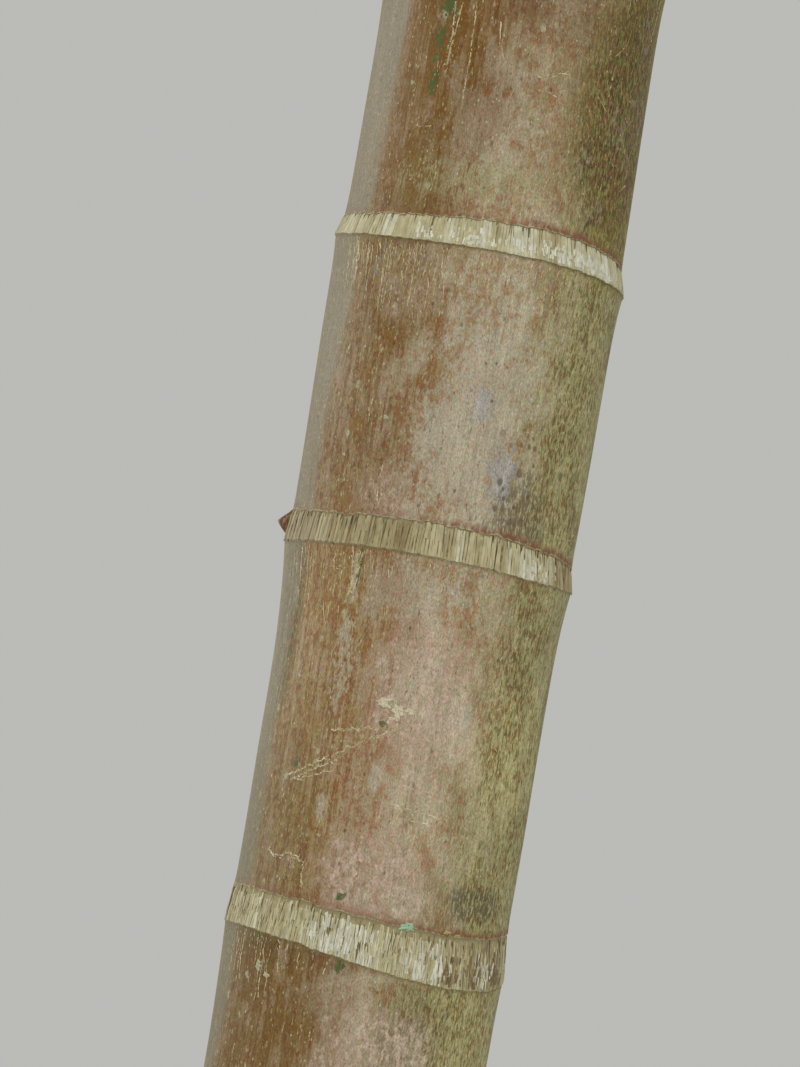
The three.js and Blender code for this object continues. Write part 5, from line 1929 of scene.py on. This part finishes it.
def leaflet_growth():
    """Sets a blade on every point, turns it along its run, bends it down and gives it one of the greens."""
    inputs = [("Points", "Geometry"), ("Blade", "Object")]
    inputs += [(f"Green {n}", "Material") for n in range(len(LEAF_GREENS))]
    tree, given = new_tree("leaflets on a midrib", inputs)
    run, face, size = (named(tree, name) for name in ("run", "face", "size"))
    real = grown(tree, given["Points"], given["Blade"], run, face, size)
    up = named(tree, "up_blade", "FLOAT")
    squared = put(tree, "ShaderNodeMath", {0: up, 1: up}, operation="MULTIPLY").outputs[0]
    hang = put(tree, "ShaderNodeVectorMath", {0: named(tree, "hang"), "Scale": squared}, operation="SCALE")
    fed = {"Geometry": real, "Offset": hang.outputs[0]}
    bent = put(tree, "GeometryNodeSetPosition", fed).outputs[0]
    for n in range(len(LEAF_GREENS)):
        fed = {2: named(tree, "green", "INT"), 3: n}
        chosen = put(tree, "FunctionNodeCompare", fed, data_type="INT", operation="EQUAL").outputs[0]
        fed = {"Geometry": bent, "Selection": chosen, "Material": given[f"Green {n}"]}
        bent = put(tree, "GeometryNodeSetMaterial", fed).outputs[0]
    put(tree, "NodeGroupOutput", {"Made": bent})
    return tree


def leaf_finish(n, green):
    """A green with fine ribs along the blade, a pale middle, freckles, and a yellowed, dry end."""
    f = Finish(f"leaf_green_{n}", 0.38, green)
    place = f.own_place()
    across, up = f.mark("across_blade", "Fac"), f.mark("up_blade", "Fac")
    fine = f.cloud(place, 700, 700, 1.0, 1)
    soft = f.cloud(place, 9, 9, 3.0 + n, 2)
    freckled = f.cloud(place, 160, 160, 5.0 + n, 3, 0.6)
    ribs = f.maths("SINE", f.all_of(across, LEAF_RIBS), 0.0)
    f.shade(f.ranging(soft, 0.88, 1.12))
    f.shade(f.between(ribs, -1.0, 1.0, 0.93, 1.06))
    f.lay(STALK_PALE, f.falling(f.maths("ABSOLUTE", across, 0.0), 0.0, 0.045), 0.5)
    f.lay(LEAF_YELLOW, f.between(freckled, 0.6, 0.7), 0.35)
    ageing = f.plus(up, f.swing(soft, 0.35))
    f.lay(LEAF_YELLOW, f.between(ageing, 0.84, 1.03, 0.0, 0.75))
    f.lay(LEAF_DRY, f.between(ageing, 0.95, 1.04, 0.0, 0.9))
    return f.done(f.plus(fine, ribs), 0.0002, f.ranging(soft, 0.34, 0.46))


leaf_greens = [leaf_finish(n, green) for n, green in enumerate(LEAF_GREENS)]
growth = leaflet_growth()
pattern = shown("blade pattern", blade_pattern())
for plan, blades in zip(plans, grow_leaflets()):
    roots, runs, faces, hangs, widths, lengths = (np.array(part) for part in zip(*blades))
    chance_green = [play(7000 + 100 * plan["number"] + k, 14) for k in range(len(blades))]
    green = OLD_GREEN + (YOUNG_GREEN - OLD_GREEN) * plan["youth"] + GREEN_PLAY * np.array(chance_green)
    green = np.clip(np.round(green), 0, len(LEAF_GREENS) - 1)
    marks = {
        "run": ("FLOAT_VECTOR", runs),
        "face": ("FLOAT_VECTOR", faces),
        "hang": ("FLOAT_VECTOR", hangs),
        "size": ("FLOAT_VECTOR", np.stack([widths, widths, lengths], -1)),
        "green": ("INT", green.astype(np.int32)),
    }
    name = f"leaflets_{plan['number'] + 1:02d}"
    choices = {"Blade": pattern, **{f"Green {n}": finish for n, finish in enumerate(leaf_greens)}}
    leaflets = worked(name, points_mesh(name + "_roots", roots, [], marks), growth, choices)
    fixed(shown(name, leaflets), "frond_leaf", *frond_nodes(plan))
bpy.data.objects.remove(pattern)
